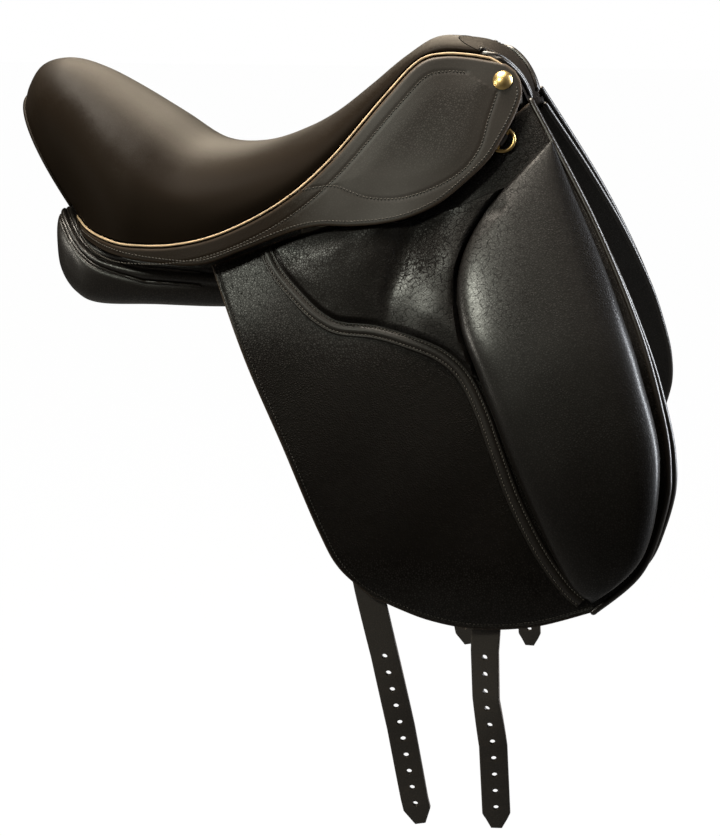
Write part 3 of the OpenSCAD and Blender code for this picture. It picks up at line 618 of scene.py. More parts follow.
def leather(name, cell, depth, rough, gloss, tone, polish, blur=0.31):
    """Leather: pebbles from bent cells, pores, browner edges, painted shade in the grain's hollows and
    creases, and a polish that creases and dull places lack.

    Cell and depth are the grain's size in millimetres, rough and gloss belong to the hide, polish and blur to
    the wax on it, and tone scales the colour.
    """
    material, shader, place = surface(name, Specular_IOR_Level=gloss, Coat_Roughness=blur, Coat_IOR=1.5)
    base = tuple(colours().leather)
    grain, crease, edge, dull = (place.layer(k) for k in ("grain", "crease", "edge", "dull"))
    pebble = (place.moved(place.noise(260.0, 2.0), 0.0016).cells(1 / (cell * MM)) * 2.6).held()
    drawn = place.moved(place.noise(55.0, 3.0), 0.016)
    folds = 1 - (drawn.cells(1 / (cell * 2.9 * MM)) * 13.0).held()
    slanted = drawn.mapped(Rotation=(0.4, 0.9, 0.2), Scale=(0.45, 1.0, 1.3))
    lines = 1 - (slanted.cells(1 / (cell * 1.5 * MM)) * 8.0).held()
    wrinkle = (folds * 0.9 + lines * 0.7) * crease
    cloud, patchy = place.noise(9.0, 4.0, 0.6), place.noise(24.0, 3.0)
    gaps = (1 - pebble) * grain
    height = pebble * grain * (0.55 + patchy * 0.9) - wrinkle * 0.6 + place.noise(900.0, 2.0) * 0.05
    body = cloud.mix(shade(base, 0.7 * tone), shade(base, 1.3 * tone))
    # Painted shade: the colour is darkened in the grain's hollows and along the creases.
    valley = (1 - gaps * 0.9 - wrinkle * 0.5).held()
    hollow_shaded_colour = valley.mix(shade(base, 0.35 * tone), body)
    kept = (0.9 - wrinkle * 0.42 - gaps * 0.65 - edge * 0.5 - dull + (cloud - 0.5) * 0.4).held()
    feed(shader,
        Base_Color=(edge * (0.45 + patchy * 0.8)).held().mix(hollow_shaded_colour, (*colours().edge, 1.0)),
        Roughness=(rough + (cloud - 0.5) * 0.12 + (1 - valley) * 0.2 + edge * 0.1).held(),
        Coat_Weight=kept * polish,
        Normal=height.bump(depth))
    return material


def thread(name, light):
    """Waxed thread: pale and dark strands from a noise, with fuzz."""
    material, shader, place = surface(name, Specular_IOR_Level=0.3)
    fuzz, strand = place.noise(2600.0, 2.0), place.noise(420.0, 1.0)
    base = colours().thread
    feed(shader,
        Base_Color=strand.mix(shade(base, 0.7 * light), shade(base, 1.3 * light)),
        Roughness=0.55 + fuzz * 0.25,
        Normal=(fuzz + strand).bump(0.12))
    return material


def welt_leather(name):
    """Natural leather cord: pale fibre with darker rubbed spots."""
    material, shader, place = surface(name, Specular_IOR_Level=0.35)
    base = colours().welt
    rub, fibre = place.noise(60.0, 4.0, 0.6), place.noise(1400.0, 2.0)
    feed(shader,
        Base_Color=rub.ramp((0.3, shade(base, 0.5)), (0.5, shade(base, 0.95)), (0.72, shade(base, 1.2))),
        Roughness=0.5 + fibre * 0.2,
        Normal=(fibre + rub * 0.5).bump(0.1))
    return material


def metal(name, colour, rough, scratch):
    """Bare metal: fine scratches and clouded tarnish in roughness and colour."""
    material, shader, place = surface(name, Metallic=1.0)
    cloud = place.noise(90.0, 4.0, 0.6)
    lines = place.mapped(Scale=(1.0, 1.0, 14.0)).noise(380.0, 3.0)
    feed(shader,
        Base_Color=cloud.mix(shade(colour, 0.72), shade(colour, 1.1)),
        Roughness=(rough + (cloud - 0.5) * 0.18 + (lines - 0.5) * scratch).held(),
        Normal=lines.bump(0.03))
    return material


def raw_wood(name):
    """Laminated wood: rings of a stretched noise along the rails."""
    material, shader, place = surface(name, Specular_IOR_Level=0.3)
    ring = place.mapped(Scale=(6.0, 40.0, 40.0)).noise(6.0, 5.0, 0.65)
    feed(shader,
        Base_Color=ring.ramp((0.3, (0.2, 0.11, 0.05, 1)), (0.55, (0.42, 0.27, 0.14, 1)),
            (0.75, (0.55, 0.38, 0.22, 1))),
        Roughness=0.55 + ring * 0.2,
        Normal=ring.bump(0.2))
    return material


def web_cloth(name):
    """Jute web: two crossing sets of threads as the product of two sine waves."""
    material, shader, place = surface(name, Specular_IOR_Level=0.2)
    x, y, z = (place.node("ShaderNodeSeparateXYZ", None, {0: place}, k) for k in ("X", "Y", "Z"))
    weave = (x * 4200.0).wave() * ((y + z) * 3600.0).wave() * 0.5 + 0.5
    dirt = place.noise(40.0, 3.0)
    tint = dirt.mix((0.24, 0.22, 0.18, 1), (0.42, 0.38, 0.31, 1))
    feed(shader,
        Base_Color=(weave * 0.5 + 0.5).held().mix((0.12, 0.11, 0.09, 1), tint),
        Roughness=0.85 + dirt * 0.1,
        Normal=weave.bump(0.35))
    return material


FINISHES = {
    "seat_leather": partial(leather, cell=1.4, depth=0.03, rough=0.5, gloss=0.015, tone=0.9, polish=0.95,
        blur=0.55),
    "facing_leather": partial(leather, cell=1.4, depth=0.03, rough=0.5, gloss=0.06, tone=0.95, polish=0.0),
    "skirt_leather": partial(leather, cell=2.2, depth=0.3, rough=0.42, gloss=0.03, tone=1.0, polish=0.76,
        blur=0.42),
    "smooth_leather": partial(leather, cell=2.0, depth=0.1, rough=0.36, gloss=0.25, tone=0.8, polish=0.7),
    "grained_leather": partial(leather, cell=2.0, depth=0.3, rough=0.45, gloss=0.08, tone=0.5, polish=1.0),
    "pad_leather": partial(leather, cell=2.0, depth=0.3, rough=0.45, gloss=0.08, tone=0.3, polish=1.0),
    "strap_leather": partial(leather, cell=2.0, depth=0.08, rough=0.55, gloss=0.7, tone=2.1, polish=0.1),
    "welt_leather": welt_leather,
    "stitch_thread": partial(thread, light=1.0),
    "rim_thread": partial(thread, light=0.35),
    "brass": lambda name: metal(name, colours().brass, rough=0.34, scratch=0.2),
    "steel": partial(metal, colour=(0.52, 0.53, 0.55), rough=0.36, scratch=0.3),
    "raw_wood": raw_wood,
    "web_cloth": web_cloth,
}


# Seat

def edge_height(share):
    """Height of the seat's edge at a share of the rise from its low edge to the pommel."""
    return SEAT_EDGE_Z + (POMMEL_Z - SEAT_EDGE_Z) * share


def seat_rows():
    """Seat rows from pommel to cantle rim: x and z of the crown, then x and z of the edge."""
    x = np.concatenate([DIP_X + FRONT_ROWS[:, 0] * POMMEL_RUN, DIP_X - REAR_ROWS[:, 0] * CANTLE_RUN,
        DIP_X - CANTLE_RUN + RIM_ROWS[:, 0]])
    z = np.concatenate([DIP_Z + (POMMEL_Z - DIP_Z) * FRONT_ROWS[:, 1],
        DIP_Z + (CANTLE_Z - DIP_Z) * REAR_ROWS[:, 1], CANTLE_Z + RIM_ROWS[:, 1]])
    lead, share = np.concatenate([FRONT_ROWS, REAR_ROWS, RIM_ROWS])[:, 2:].T
    return np.stack([x, z, x + lead, edge_height(share)], 1)


SEAT_ROWS = seat_rows()


def arch_at(r, half_w, v):
    """Points of an arch from edge over crown to edge: a superellipse in width and height, v from -1 to 1."""
    n = 2 / SEAT_FULL
    h = np.abs(np.cos(v * math.pi / 2)) ** n
    g = power(np.sin(v * math.pi / 2), n)
    return np.stack([r[..., 2] + (r[..., 0] - r[..., 2]) * h, half_w * g,
        r[..., 3] + (r[..., 1] - r[..., 3]) * h], -1)


def arch(rows, half_w, v):
    """Grid of arches, one for each row."""
    return arch_at(rows[:, None], half_w[:, None], v[None])


def seat_surface(us, vs):
    """Seat top: arches over the rows' smooth curve, as wide as the skirts' inner edge."""
    rows = curve(SEAT_ROWS, us)
    return arch(rows, on_side(rows[:, 2:], SKIRT_OFF - EDGE_INSET)[:, 1], vs)


def edge_below(us, drop):
    """Line beside the seat's edge, drop below it square to its run."""
    fine = np.linspace(0, 1, 400)
    drops = np.interp(fine, us, np.broadcast_to(drop, us.shape))
    return picked(us, fine, beside(curve(SEAT_ROWS[:, 2:], fine), drops[:, None]))


class SADDLE_OT_seat(bpy.types.Operator):
    """Padded seat over the foam, with the lining behind the cantle"""

    bl_idname = "saddle.seat"
    bl_label = "Seat"

    def execute(self, context):
        us, vs = np.linspace(0, 1, 150), np.linspace(-1, 1, 97)
        top = seat_surface(us, vs)
        n = normals(top)
        n *= np.sign(n[len(us) // 2, len(vs) // 2, 2])
        u, down = us[:, None], np.abs(vs)[None]
        inset = smooth(1 - down, 0.02, 0.3) * smooth(u, 0.0, 0.08) * smooth(1 - u, 0.0, 0.14)
        inward = (HIDE_T + SEAT_PAD * inset)[..., None] * n
        top = swelled(top, top - inward, rows=50, columns=40, pressure=0.8, limit=1.5)
        waist = 0.32 * smooth(u, 0.2, 0.42) * (1 - smooth(u, 0.42, 0.66)) * smooth(down, 0.05, 0.45)
        dull = np.interp(down, *SEAT_DULL) + waist + 0.24 * smooth(u, 0.52, 0.74)
        seat = make("seat", skin(top, top - inward), "seat_leather", grain=0.2, dull=dull)
        settle(seat, ROOT, ("seat_cover", "seat_foam"))
        rows = 24
        w = np.linspace(0, 1, rows)[:, None]
        last = SEAT_ROWS[-1]
        crown = (last[:2] + [LINING_INSET, -LINING_INSET]) * (1 - w) + (last[2:] + [-18, 8]) * w
        half = np.full(rows, on_side(last[2:], SKIRT_OFF - EDGE_INSET)[1] - LINING_INSET)
        back = arch(np.concatenate([crown, np.broadcast_to(last[2:], (rows, 2))], 1), half,
            np.linspace(-0.94, 0.94, 60))
        back[..., 0] -= 1.5 * np.sin(math.pi * w)
        lining = make("cantle_lining", skin(back, back + [HIDE_T, 0, 0]), "smooth_leather", grain=0.8)
        settle(lining, ROOT, ("cantle_back",))
        line = seat_surface(np.array([0.995]), np.linspace(-0.97, 0.97, 120))[0] + [-1.0, 0, -0.6]
        piping = make("cantle_piping", tube(line, np.array([-1.0, 0, 0]), CANTLE_PIPING), "facing_leather")
        settle(piping, ROOT)
        return {"FINISHED"}


class SADDLE_OT_facing(bpy.types.Operator):
    """Facing that rolls over the pommel's front down to the sweat flaps"""

    bl_idname = "saddle.facing"
    bl_label = "Pommel facing"

    def execute(self, context):
        rows = np.array([SEAT_ROWS[0] + [1, -0.3, 1, 0], *FACING_ROWS])
        us, vs = np.linspace(0, 1, 70), np.linspace(-1, 1, 81)

        def spread(u):
            """Rows and half widths of the facing at u, drawn in towards its lower end."""
            r = curve(rows, u)
            return r, on_side(r[:, 2:], 10 - 24 * smooth(u, 0.2, 0.9))[:, 1]

        top = arch(*spread(us), vs)
        n = normals(top)
        n *= np.sign(n[10, len(vs) // 2, 2])
        facing = make("pommel_facing_leather", skin(top, top - HIDE_T * n), "facing_leather", grain=0.8)
        settle(facing, ROOT, ("pommel_facing",))
        width = 0.9 * context.scene.saddle_sizes.binding_width / MM
        u, across = curve(FACING_TRACK, np.linspace(0, 1, 60)).T
        step = 0.004
        cords = []
        for side in (-1, 1):
            for shift in (0.0, 0.13):
                v = side * (across - shift * smooth(u, 0.05, 0.3))
                down = arch_at(*spread(u + step), v) - arch_at(*spread(u - step), v)
                up = np.cross(down, arch_at(*spread(u), v + step) - arch_at(*spread(u), v - step))
                up = unit(up * np.sign(up @ [0.3, side, 0.7])[:, None])
                cords.append(tube(arch_at(*spread(u), v) + 1.4 * up, up, width))
        settle(make("facing_piping", joined(cords), "smooth_leather"), ROOT)
        sewn = slice(8, 60)
        seams = joined([stitches(top[sewn, k] + 0.3 * n[sewn, k], n[sewn, k]) for k in (16, -17)])
        settle(make("facing_stitching", seams, "stitch_thread"), ROOT)
        return {"FINISHED"}


class SADDLE_OT_welts(bpy.types.Operator):
    """Pale leather cord between seat and skirt"""

    bl_idname = "saddle.welts"
    bl_label = "Welts"

    def execute(self, context):
        width = context.scene.saddle_sizes.welt_width / MM
        line = np.concatenate([WELT_FRONT, edge_below(np.linspace(0.02, 1, 220), 2.4)])
        cord = tube(on_side(line, 14.2), side_normal(line), width)
        for name, side in SIDES:
            welt = make(f"welt_{name}", cord, "welt_leather", side)
            settle(welt, ROOT, (f"seat_welt_{name}",))
        return {"FINISHED"}


# Skirts

def insert_rows():
    """Stitch rows round the padded insert: its lower line, and one below the welt to the skirt's rear."""
    us = np.linspace(0.03, 0.86, 90)
    return even(INSERT_LINE, 4.0), edge_below(us, 17.0 - 9.0 * smooth(us, 0.6, 0.86))[::-1]


def insert_reach(xz):
    """Distance to the insert's stitch rows, and whether a point is inside them."""
    insert, upper = insert_rows()
    loop = np.concatenate([insert, upper[(upper[:, 0] < INSERT_FRONT) & (upper[:, 0] > INSERT_REAR)]])
    return np.minimum(reach(xz, insert), reach(xz, upper)), within(xz, loop)


def skirt_height(xz):
    """Outer face of the skirt: a padded insert inside its stitch line, and grooves along the stitch rows."""
    d, inside = insert_reach(xz)
    return (SKIRT_OFF + 0.5 * smooth(d, 0, 18) * inside - 0.4 * bell(d, 1.5)
        + ripple(xz, [(190, 120, 0.4, 0.35), (75, -140, 1.0, 0.25)]))


def skirt_grid():
    """Columns from the edge under the welt down to the skirt's lower edge, spread along both."""
    top = np.concatenate([edge_below(np.linspace(1, 0.02, 120), 4.6), SKIRT_FRONT])
    run = run_of(top)
    s = edged(230, 460.0)
    lead = np.interp(s, [0, 0.25, 0.5, 0.75, 1], [0, 0.27, 0.53, 0.76, 1])
    t = edged(56, 90.0)[None, :, None]
    return picked(lead * run[-1], run, top)[:, None] * (1 - t) + curve(SKIRT_LOW, s)[:, None] * t


def lift_band(side):
    """Start and end points, in metres, of a short band across the skirt's flex line."""
    hinge = np.array([FLEX_X, side * (float(side_y(FLEX_Z)) + SKIRT_OFF), FLEX_Z])
    axis = np.array([1, -side * math.tan(TILT) * FLEX_SLOPE, FLEX_SLOPE])
    down = np.array([FLEX_SLOPE, side * -0.2, -1.0])
    down = unit(down - axis * (down @ axis) / (axis @ axis))
    return tuple((hinge - FLEX_ABOVE * down) * MM), tuple((hinge + FLEX_BELOW * down) * MM)


class SADDLE_OT_skirts(bpy.types.Operator):
    """Skirts with a padded insert and their stitch rows"""

    bl_idname = "saddle.skirts"
    bl_label = "Skirts"

    def execute(self, context):
        xz = skirt_grid()
        x, z = xz[..., 0], xz[..., 1]
        outer, inner, d = rounded(xz, skirt_height(xz), SKIRT_OFF - SKIRT_T, roll=2.2)
        near, inside = insert_reach(xz)
        layers = {
            "grain": 0.2 + 0.45 * smooth(near, 0, 25) * inside * smooth(z, 110, 150),
            "edge": bell(d, 1.3) * (0.3 + 0.7 * smooth(x, -20, 80)),
            "dull": 0.9 * (1 - smooth(x, 0, 100)) + 0.12 * smooth(x, 105, 140),
        }
        rows = [*insert_rows(), beside(even(SKIRT_LOW, 2.0), LOW_ROW_INSET)[4:-2]]
        seams = joined([stitches(on_side(r, skirt_height(r) + 0.1), side_normal(r)) for r in rows])
        for name, side in SIDES:
            skirt = make(f"skirt_leather_{name}", skin(outer, inner), "skirt_leather", side, **layers)
            sewn = make(f"skirt_stitching_{name}", seams, "stitch_thread", side)
            start, end = lift_band(side)
            for piece in (skirt, sewn):
                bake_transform(piece)
            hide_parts(f"skirt_{name}", f"skirt_lobe_{name}")
        return {"FINISHED"}


# Flaps

def flap_rim():
    """The flap's rear and lower edge."""
    return even(FLAP_REAR[:-1] + FLAP_BOTTOM, 4.0)


def flap_height(xz):
    """Outer face of the flap: slow waves, a groove along the rim's stitches, a raised fold outside it."""
    line = flap_rim()
    groove = 0.55 * bell(reach(xz, beside(line, ROW_INSET)), 1.5)
    fold = 0.5 * (1 - smooth(reach(xz, line), 3.2, 5.2))
    return ripple(xz, [(230, 310, 0.3, 0.7), (120, -170, 1.7, 0.35), (60, 85, 0.5, 0.12)]) - groove + fold


def flap_grid(columns, rows):
    """Grid of points inside the flap's outline, with its shares across and down."""
    s, t = edged(columns, 380.0), edged(rows, 420.0)
    return patch(FLAP_REAR, FLAP_FRONT, FLAP_TOP, FLAP_BOTTOM, s, t), s[None], t[:, None]


class SADDLE_OT_flaps(bpy.types.Operator):
    """Flaps and sweat flaps with bound front edges"""

    bl_idname = "saddle.flaps"
    bl_label = "Flaps"

    def execute(self, context):
        bind = context.scene.saddle_sizes.binding_width / MM
        xz = flap_grid(130, 140)[0]
        x, z = xz[..., 0], xz[..., 1]
        outer, inner, d = rounded(xz, flap_height(xz), -FLAP_T, roll=2.0)
        layers = {
            "grain": 1.0,
            "edge": bell(d, 1.2),
            "crease": 0.8 * smooth(z, 92, 120) * smooth(x, 150, 180)
                + 0.4 * smooth(z, -90, 10) * (1 - smooth(x, 50, 120)),
            "dull": 0.85 * (1 - smooth(z, -75, 0)) * smooth(z, -240, -170),
        }
        row = beside(flap_rim(), ROW_INSET)
        seam = stitches(on_side(row, flap_height(row) + 0.1), side_normal(row))
        front = even(FLAP_FRONT, 3.0)
        binding = tube(on_side(front, -1.5), side_normal(front), bind)
        sweat, s, t = flap_grid(70, 80)
        sweat = sweat + np.stack([np.full(sweat.shape[:2], 4.5), 6 * t - 14 * s * (1 - t)], -1)
        sweat_outer, sweat_inner, sweat_d = rounded(sweat, SWEAT_OFF, SWEAT_OFF - SWEAT_T, roll=1.5)
        front = even(sweat[::6, -1], 3.0)
        sweat_binding = tube(on_side(front, SWEAT_OFF - 0.5), side_normal(front), bind)
        for name, side in SIDES:
            body = f"{name}_flap_body"
            flap = make(f"flap_leather_{name}", skin(outer, inner), "grained_leather", side, **layers)
            settle(flap, body, (f"flap_{name}",))
            settle(make(f"flap_stitching_{name}", seam, "rim_thread", side), body)
            settle(make(f"flap_binding_{name}", binding, "smooth_leather", side), body)
            under = make(f"sweat_leather_{name}", skin(sweat_outer, sweat_inner), "smooth_leather", side,
                grain=0.8, edge=bell(sweat_d, 1.0))
            settle(under, ROOT, (f"sweat_flap_{name}",))
            bound = make(f"sweat_binding_{name}", sweat_binding, "smooth_leather", side)
            settle(bound, ROOT)
        return {"FINISHED"}


class SADDLE_OT_blocks(bpy.types.Operator):
    """Thigh blocks: foam wedges under tight leather"""

    bl_idname = "saddle.blocks"
    bl_label = "Thigh blocks"

    def execute(self, context):
        columns, blur = 96, 13
        t = np.linspace(0, 1, 130)
        across, share = curve(BLOCK_PROFILE, np.linspace(0, 1, columns)).T[:, None]
        rise = np.pad(np.interp(t, *BLOCK_RISE), blur // 2, mode="edge")
        rise = np.convolve(rise, np.ones(blur) / blur, "valid")[:, None]
        rear, front = curve(BLOCK_REAR, t)[:, None], curve(BLOCK_FRONT, t)[:, None]
        xz = rear + (front - rear) * across[..., None]
        base = on_side(rear + (front - rear) * np.linspace(0.014, 0.988, columns)[None, :, None], UNDER_PAD)
        high = rise * share * (0.86 + 0.14 * across)
        top = on_side(xz, 0.4 + BLOCK_HIGH * high + tumble(xz, length=60, height=0.15, seed=3) * high)
        top = swelled(top, base, rows=52, columns=34, pressure=4.0, limit=3.0)
        t = t[:, None]
        layers = {
            "grain": 0.6,
            "crease": 0.9 * (1 - smooth(across, 0.12, 0.7)) * (1 - smooth(t, 0.36, 0.6)),
            "dull": 0.05 + 0.17 * smooth(across, 0.2, 0.5)
                + 0.6 * smooth(across, 0.8, 0.93) * (1 - smooth(t, 0.3, 0.55)),
        }
        for name, side in SIDES:
            block = make(f"thigh_pad_{name}", skin(top, base), "pad_leather", side, **layers)
            settle(block, f"{name}_flap_body", (f"thigh_block_{name}",))
        return {"FINISHED"}


def pad_height(xz):
    """Padded upper flap: a swelling, a valley and a ramp to the block, thin at seam, block and hinge."""
    x, z = xz[..., 0], xz[..., 1]
    seam = reach(xz, even(SEAM_LINE, 5.0))
    block = reach(xz, curve(BLOCK_REAR, np.linspace(0.05, 0.6, 40)))
    along = x - 0.25 * (z - 40)
    swelling = 6.8 * (1 - smooth(along, 84, 122)) * (0.4 + 0.6 * smooth(seam, 4, 62))
    ramp = 8.5 * smooth(along, 106, 168) * (0.55 + 0.45 * smooth(seam, 4, 30)) * (1 - 0.5 * smooth(z, 48, 92))
    valley = 2.2 + tumble(xz, length=30, height=0.1, seed=5)
    below = (FLEX_Z + FLEX_SLOPE * (x - FLEX_X) - z) / math.hypot(1, FLEX_SLOPE)
    thin = (0.2 + 0.8 * smooth(below, 8, 42)) * smooth(seam, 4.5, 10.5) * smooth(block, 0, 4.5)
    return 1.0 + (valley + swelling + ramp) * thin


class SADDLE_OT_pads(bpy.types.Operator):
    """Padded upper flaps and the sewn seam bands under them"""

    bl_idname = "saddle.pads"
    bl_label = "Flap pads and seams"

    def execute(self, context):
        s, t = np.linspace(0, 1, 110), np.linspace(0, 1, 70)
        low, high = curve(PAD_LOW, s), curve(PAD_HIGH, s)
        low[-12:] += np.linspace(0, 1, 12)[:, None] ** 2 * [15, -5]
        high = high + s[:, None] ** 2 * (np.array(PAD_FRONT[0]) - high[-1])
        xz = patch([PAD_HIGH[0], PAD_LOW[0]], PAD_FRONT, high, low, s, t)
        x, z = xz[..., 0], xz[..., 1]
        base = on_side(xz, UNDER_PAD)
        top = swelled(on_side(xz, pad_height(xz)), base, rows=34, columns=54, pressure=4.0, limit=3.0)
        upper = 0.75 * smooth(z, 5, 65) * (1 - 0.6 * smooth(x, 140, 165))
        layers = {
            "grain": 0.5,
            "crease": 0.15 + 0.75 * smooth(x, 70, 125),
            "dull": 0.6 + (upper - 0.6) * smooth(x, 75, 135),
        }
        line = even(SEAM_LINE, 2.5)
        w = np.linspace(-1, 1, 25)
        half, row = context.scene.saddle_sizes.seam_width / MM / 2, 0.55
        band = line[:, None] + leftward(line)[:, None] * (w * half)[None, :, None]
        rise = 0.5 + 1.9 * (1 - w**6) - 0.75 * bell(np.abs(w) - row, 0.14) + 0.5 * bell(w, 0.25)
        strip = skin(on_side(band, rise), on_side(band, UNDER_BAND))
        rows = [beside(line, end * row * half) for end in (-1, 1)]
        seams = joined([stitches(on_side(r, 1.75), side_normal(r)) for r in rows])
        for name, side in SIDES:
            body = f"{name}_flap_body"
            pad = make(f"flap_padding_{name}", skin(top, base), "pad_leather", side, **layers)
            settle(pad, body, (f"flap_pad_{name}",))
            seam = make(f"seam_band_{name}", strip, "smooth_leather", side, grain=0.7)
            settle(seam, body, (f"flap_seam_{name}",))
            settle(make(f"seam_stitching_{name}", seams, "stitch_thread", side), body)
        return {"FINISHED"}


# Panels

def panel_surface(us, angles):
    """Panel cushion: superellipse sections, turned and placed by the rows' smooth curve."""
    x, across, z, half_w, half_h, turn = np.moveaxis(curve(PANEL_ROWS, us)[:, None], -1, 0)
    n = 2 / PANEL_FULL
    angles, turn = np.atleast_2d(angles), np.radians(turn)
    w, h = half_w * power(np.cos(angles), n), half_h * power(np.sin(angles), n)
    return np.stack([np.broadcast_to(x, w.shape), GULLET_W / 2 + across + w * np.cos(turn) + h * np.sin(turn),
        z - w * np.sin(turn) + h * np.cos(turn)], -1)


class SADDLE_OT_panels(bpy.types.Operator):
    """Wool-filled panels with the rear gusset's seams and piping"""

    bl_idname = "saddle.panels"
    bl_label = "Panels"

    def execute(self, context):
        us = np.linspace(0, 1, 170)
        angles = np.linspace(0, TURN, 120, endpoint=False)
        degrees = np.degrees(angles)[None]
        fade = (smooth(us, 0.03, 0.1) * (1 - smooth(us, 0.42, 0.55)))[:, None]
        high, low = (np.interp(us, *seam)[:, None] for seam in PANEL_SEAMS)
        pressed = sum(bell((degrees - a + 180) % 360 - 180, 4.5) for a in (high, low))
        rolls = np.clip((degrees - low) / np.maximum(high - low, 1), 0, 1)
        swell = np.sin(math.pi * rolls) + np.sin(math.pi * np.clip((degrees - high) / 30, 0, 1))
        rings = panel_surface(us, angles)
        out = unit(rings - rings.mean(1, keepdims=True))
        rings = rings + (fade * (1.6 * swell - 3.2 * pressed))[..., None] * out
        first, last = rings[:1].mean(1, keepdims=True), rings[-1:].mean(1, keepdims=True)
        rings = np.concatenate([first + (rings[:1] - first) * 0.4 - [1.5, 0, 0], rings,
            last + (rings[-1:] - last) * 0.5 + [2.0, 0, 0]])
        sewn = (us > 0.09) & (us < 0.47)
        cords = joined([tube(panel_surface(us[sewn], np.radians(a[sewn]))[:, 0] + [0, -1.6, -0.6],
            np.array([0.0, 0.9, 0.4]), PANEL_PIPING, 8) for a in (high, low)])
        for name, side in SIDES:
            panel = make(f"panel_cushion_{name}", loft(rings), "smooth_leather", side, grain=1.0)
            settle(panel, ROOT, (f"panel_{name}", f"rear_gusset_{name}"))
            settle(make(f"panel_piping_{name}", cords, "smooth_leather", side), ROOT)
        return {"FINISHED"}


# Billets

def billet_path(pivot_x, slant, sway):
    """Strap's middle line from its top to its tip: straight on the slope, round like the side, straight down.

    Gives points, directions along, across and out of the strap, and the length run, with a side sway added.
    """
    at, sway_x, sway_y, twist = sway
    r = SIDE_R / math.cos(slant) ** 2 + STRAP_T / 2
    run = (STRAP_Z - BEND_Z) / math.cos(TILT) + STRAP_LAG
    lay = SWEAT_OFF * math.cos(TILT) + STRAP_GAP + STRAP_T / 2
    first = np.stack([np.zeros(12), np.linspace(STRAP_TOP, -run, 12)], 1)[:-1]
    a = np.linspace(0, TILT, 60)
    bend = np.stack([r * np.cos(a) - r, -run - r * np.sin(a)], 1)
    d = np.linspace(0, STRAP_FREE, 120)[1:, None]
    yz = np.concatenate([first, bend, bend[-1] - d * [math.sin(TILT), math.cos(TILT)]])
    p = np.stack([np.zeros(len(yz)), yz[:, 0] + lay, yz[:, 1]], 1)
    length = run_of(p)
    p[:, 0] += np.interp(length, at, sway_x)
    p[:, 1] += np.interp(length, at, sway_y)
    cos, sin = math.cos(slant), math.sin(slant)
    turn = np.array([[cos, 0, -sin], [0, 1, 0], [sin, 0, cos]])
    cos, sin = math.cos(TILT), math.sin(TILT)
    lean = np.array([[1, 0, 0], [0, cos, -sin], [0, sin, cos]])
    world = p @ turn.T @ lean.T + [pivot_x, float(side_y(STRAP_Z)), STRAP_Z]
    level = np.array([1.0, 0, 0]) @ turn.T @ lean.T
    along = unit(np.gradient(world, axis=0))
    out = unit(np.cross(np.broadcast_to(level, along.shape), along))
    across = np.cross(along, out)
    w = np.radians(np.interp(length, at, twist))[:, None]
    return world, along, across * np.cos(w) + out * np.sin(w), out * np.cos(w) - across * np.sin(w), length


def punch(strap, rods, side):
    """Cuts the rods out of a strap and keeps the result as its mesh."""
    cutter = placed("punch", mesh_of("punch", rods, side))
    cut = strap.modifiers.new("holes", "BOOLEAN")
    cut.operation, cut.object, cut.solver = "DIFFERENCE", cutter, "EXACT"
    done = bpy.data.meshes.new_from_object(strap.evaluated_get(bpy.context.evaluated_depsgraph_get()))
    strap.modifiers.clear()
    strap.data = done
    done.set_sharp_from_angle(angle=SHARP)
    bpy.data.objects.remove(cutter)


class SADDLE_OT_billets(bpy.types.Operator):
    """Girth billets with rounded edges, punched holes and pointed ends"""

    bl_idname = "saddle.billets"
    bl_label = "Billets"

    def execute(self, context):
        corner = np.linspace(0, TURN, 28, endpoint=False)
        cx, cy = power(np.cos(corner), 0.12), power(np.sin(corner), 0.45)
        w = np.linspace(0, TURN, 24, endpoint=False)[None, :, None]
        ends = np.array([-6.0, 6.0])[:, None, None]
        for which, strap_way in STRAPS.items():
            p, along, across, out, run = billet_path(*strap_way)
            tip = run[-1] - run
            share = np.where(tip < STRAP_TIP, 0.4 + 0.6 * tip / STRAP_TIP, 1.0)[:, None]
            rings = (p[:, None] + (cx * STRAP_W / 2)[None, :, None] * (share * across)[:, None]
                + (cy * STRAP_T / 2)[None, :, None] * out[:, None])
            at = run[-1] - (FIRST_HOLE + HOLE_STEP * np.arange(HOLES))
            holes = zip(*(picked(at, run, v) for v in (p, across, along, out)))
            rods = joined([loft(hole + HOLE_R * (np.cos(w) * level + np.sin(w) * down) + ends * face)
                for hole, level, down, face in holes])
            edge = np.broadcast_to(bell(np.abs(cx) - 1, 0.02) * (np.abs(cy) < 0.8), rings.shape[:2])
            for name, side in SIDES:
                strap = make(f"{which}_strap_{name}", loft(rings), "strap_leather", side,
                    grain=0.8, edge=edge)
                punch(strap, rods, side)
                settle(strap, f"{name}_{which}_billet_body", (f"{which}_billet_{name}",))
        return {"FINISHED"}


class SADDLE_OT_fittings(bpy.types.Operator):
    """Finishes of the metal fittings, tree and webs that the part already has"""

    bl_idname = "saddle.fittings"
    bl_label = "Fittings"

    def execute(self, context):
        for name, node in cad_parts.items():
            if node.hide_render:
                continue
            kind = next(k for k in WEAR if name.startswith(k))
            node.data.materials.clear()
            node.data.materials.append(finished(WEAR[kind]))
        return {"FINISHED"}


# Stage

def aimed(item, place, direction):
    """Puts a lamp or camera at a place and turns it to look along a direction."""
    item.location = place
    item.rotation_mode = "QUATERNION"
    item.rotation_quaternion = direction.to_track_quat("-Z", "Y")


def lamp(name, place, aim, size, power, colour):
    """Rectangular soft lamp at a place, turned to aim."""
    data = bpy.data.lights.new(name, "AREA")
    data.shape, data.energy, data.color = "RECTANGLE", power, colour
    data.size, data.size_y = size
    aimed(placed(name, data), place, Vector(aim) - Vector(place))


def seen_white(tree):
    """1 for rays from the camera and, at less weight, for reflections, which show the pale surroundings."""
    path = tree.nodes.new("ShaderNodeLightPath")
    kinds = ("Camera", "Glossy", "Transmission")
    camera, glossy, through = (Tone(tree, path.outputs[f"Is {kind} Ray"]) for kind in kinds)
    return (camera + glossy * 0.03 + through).held()


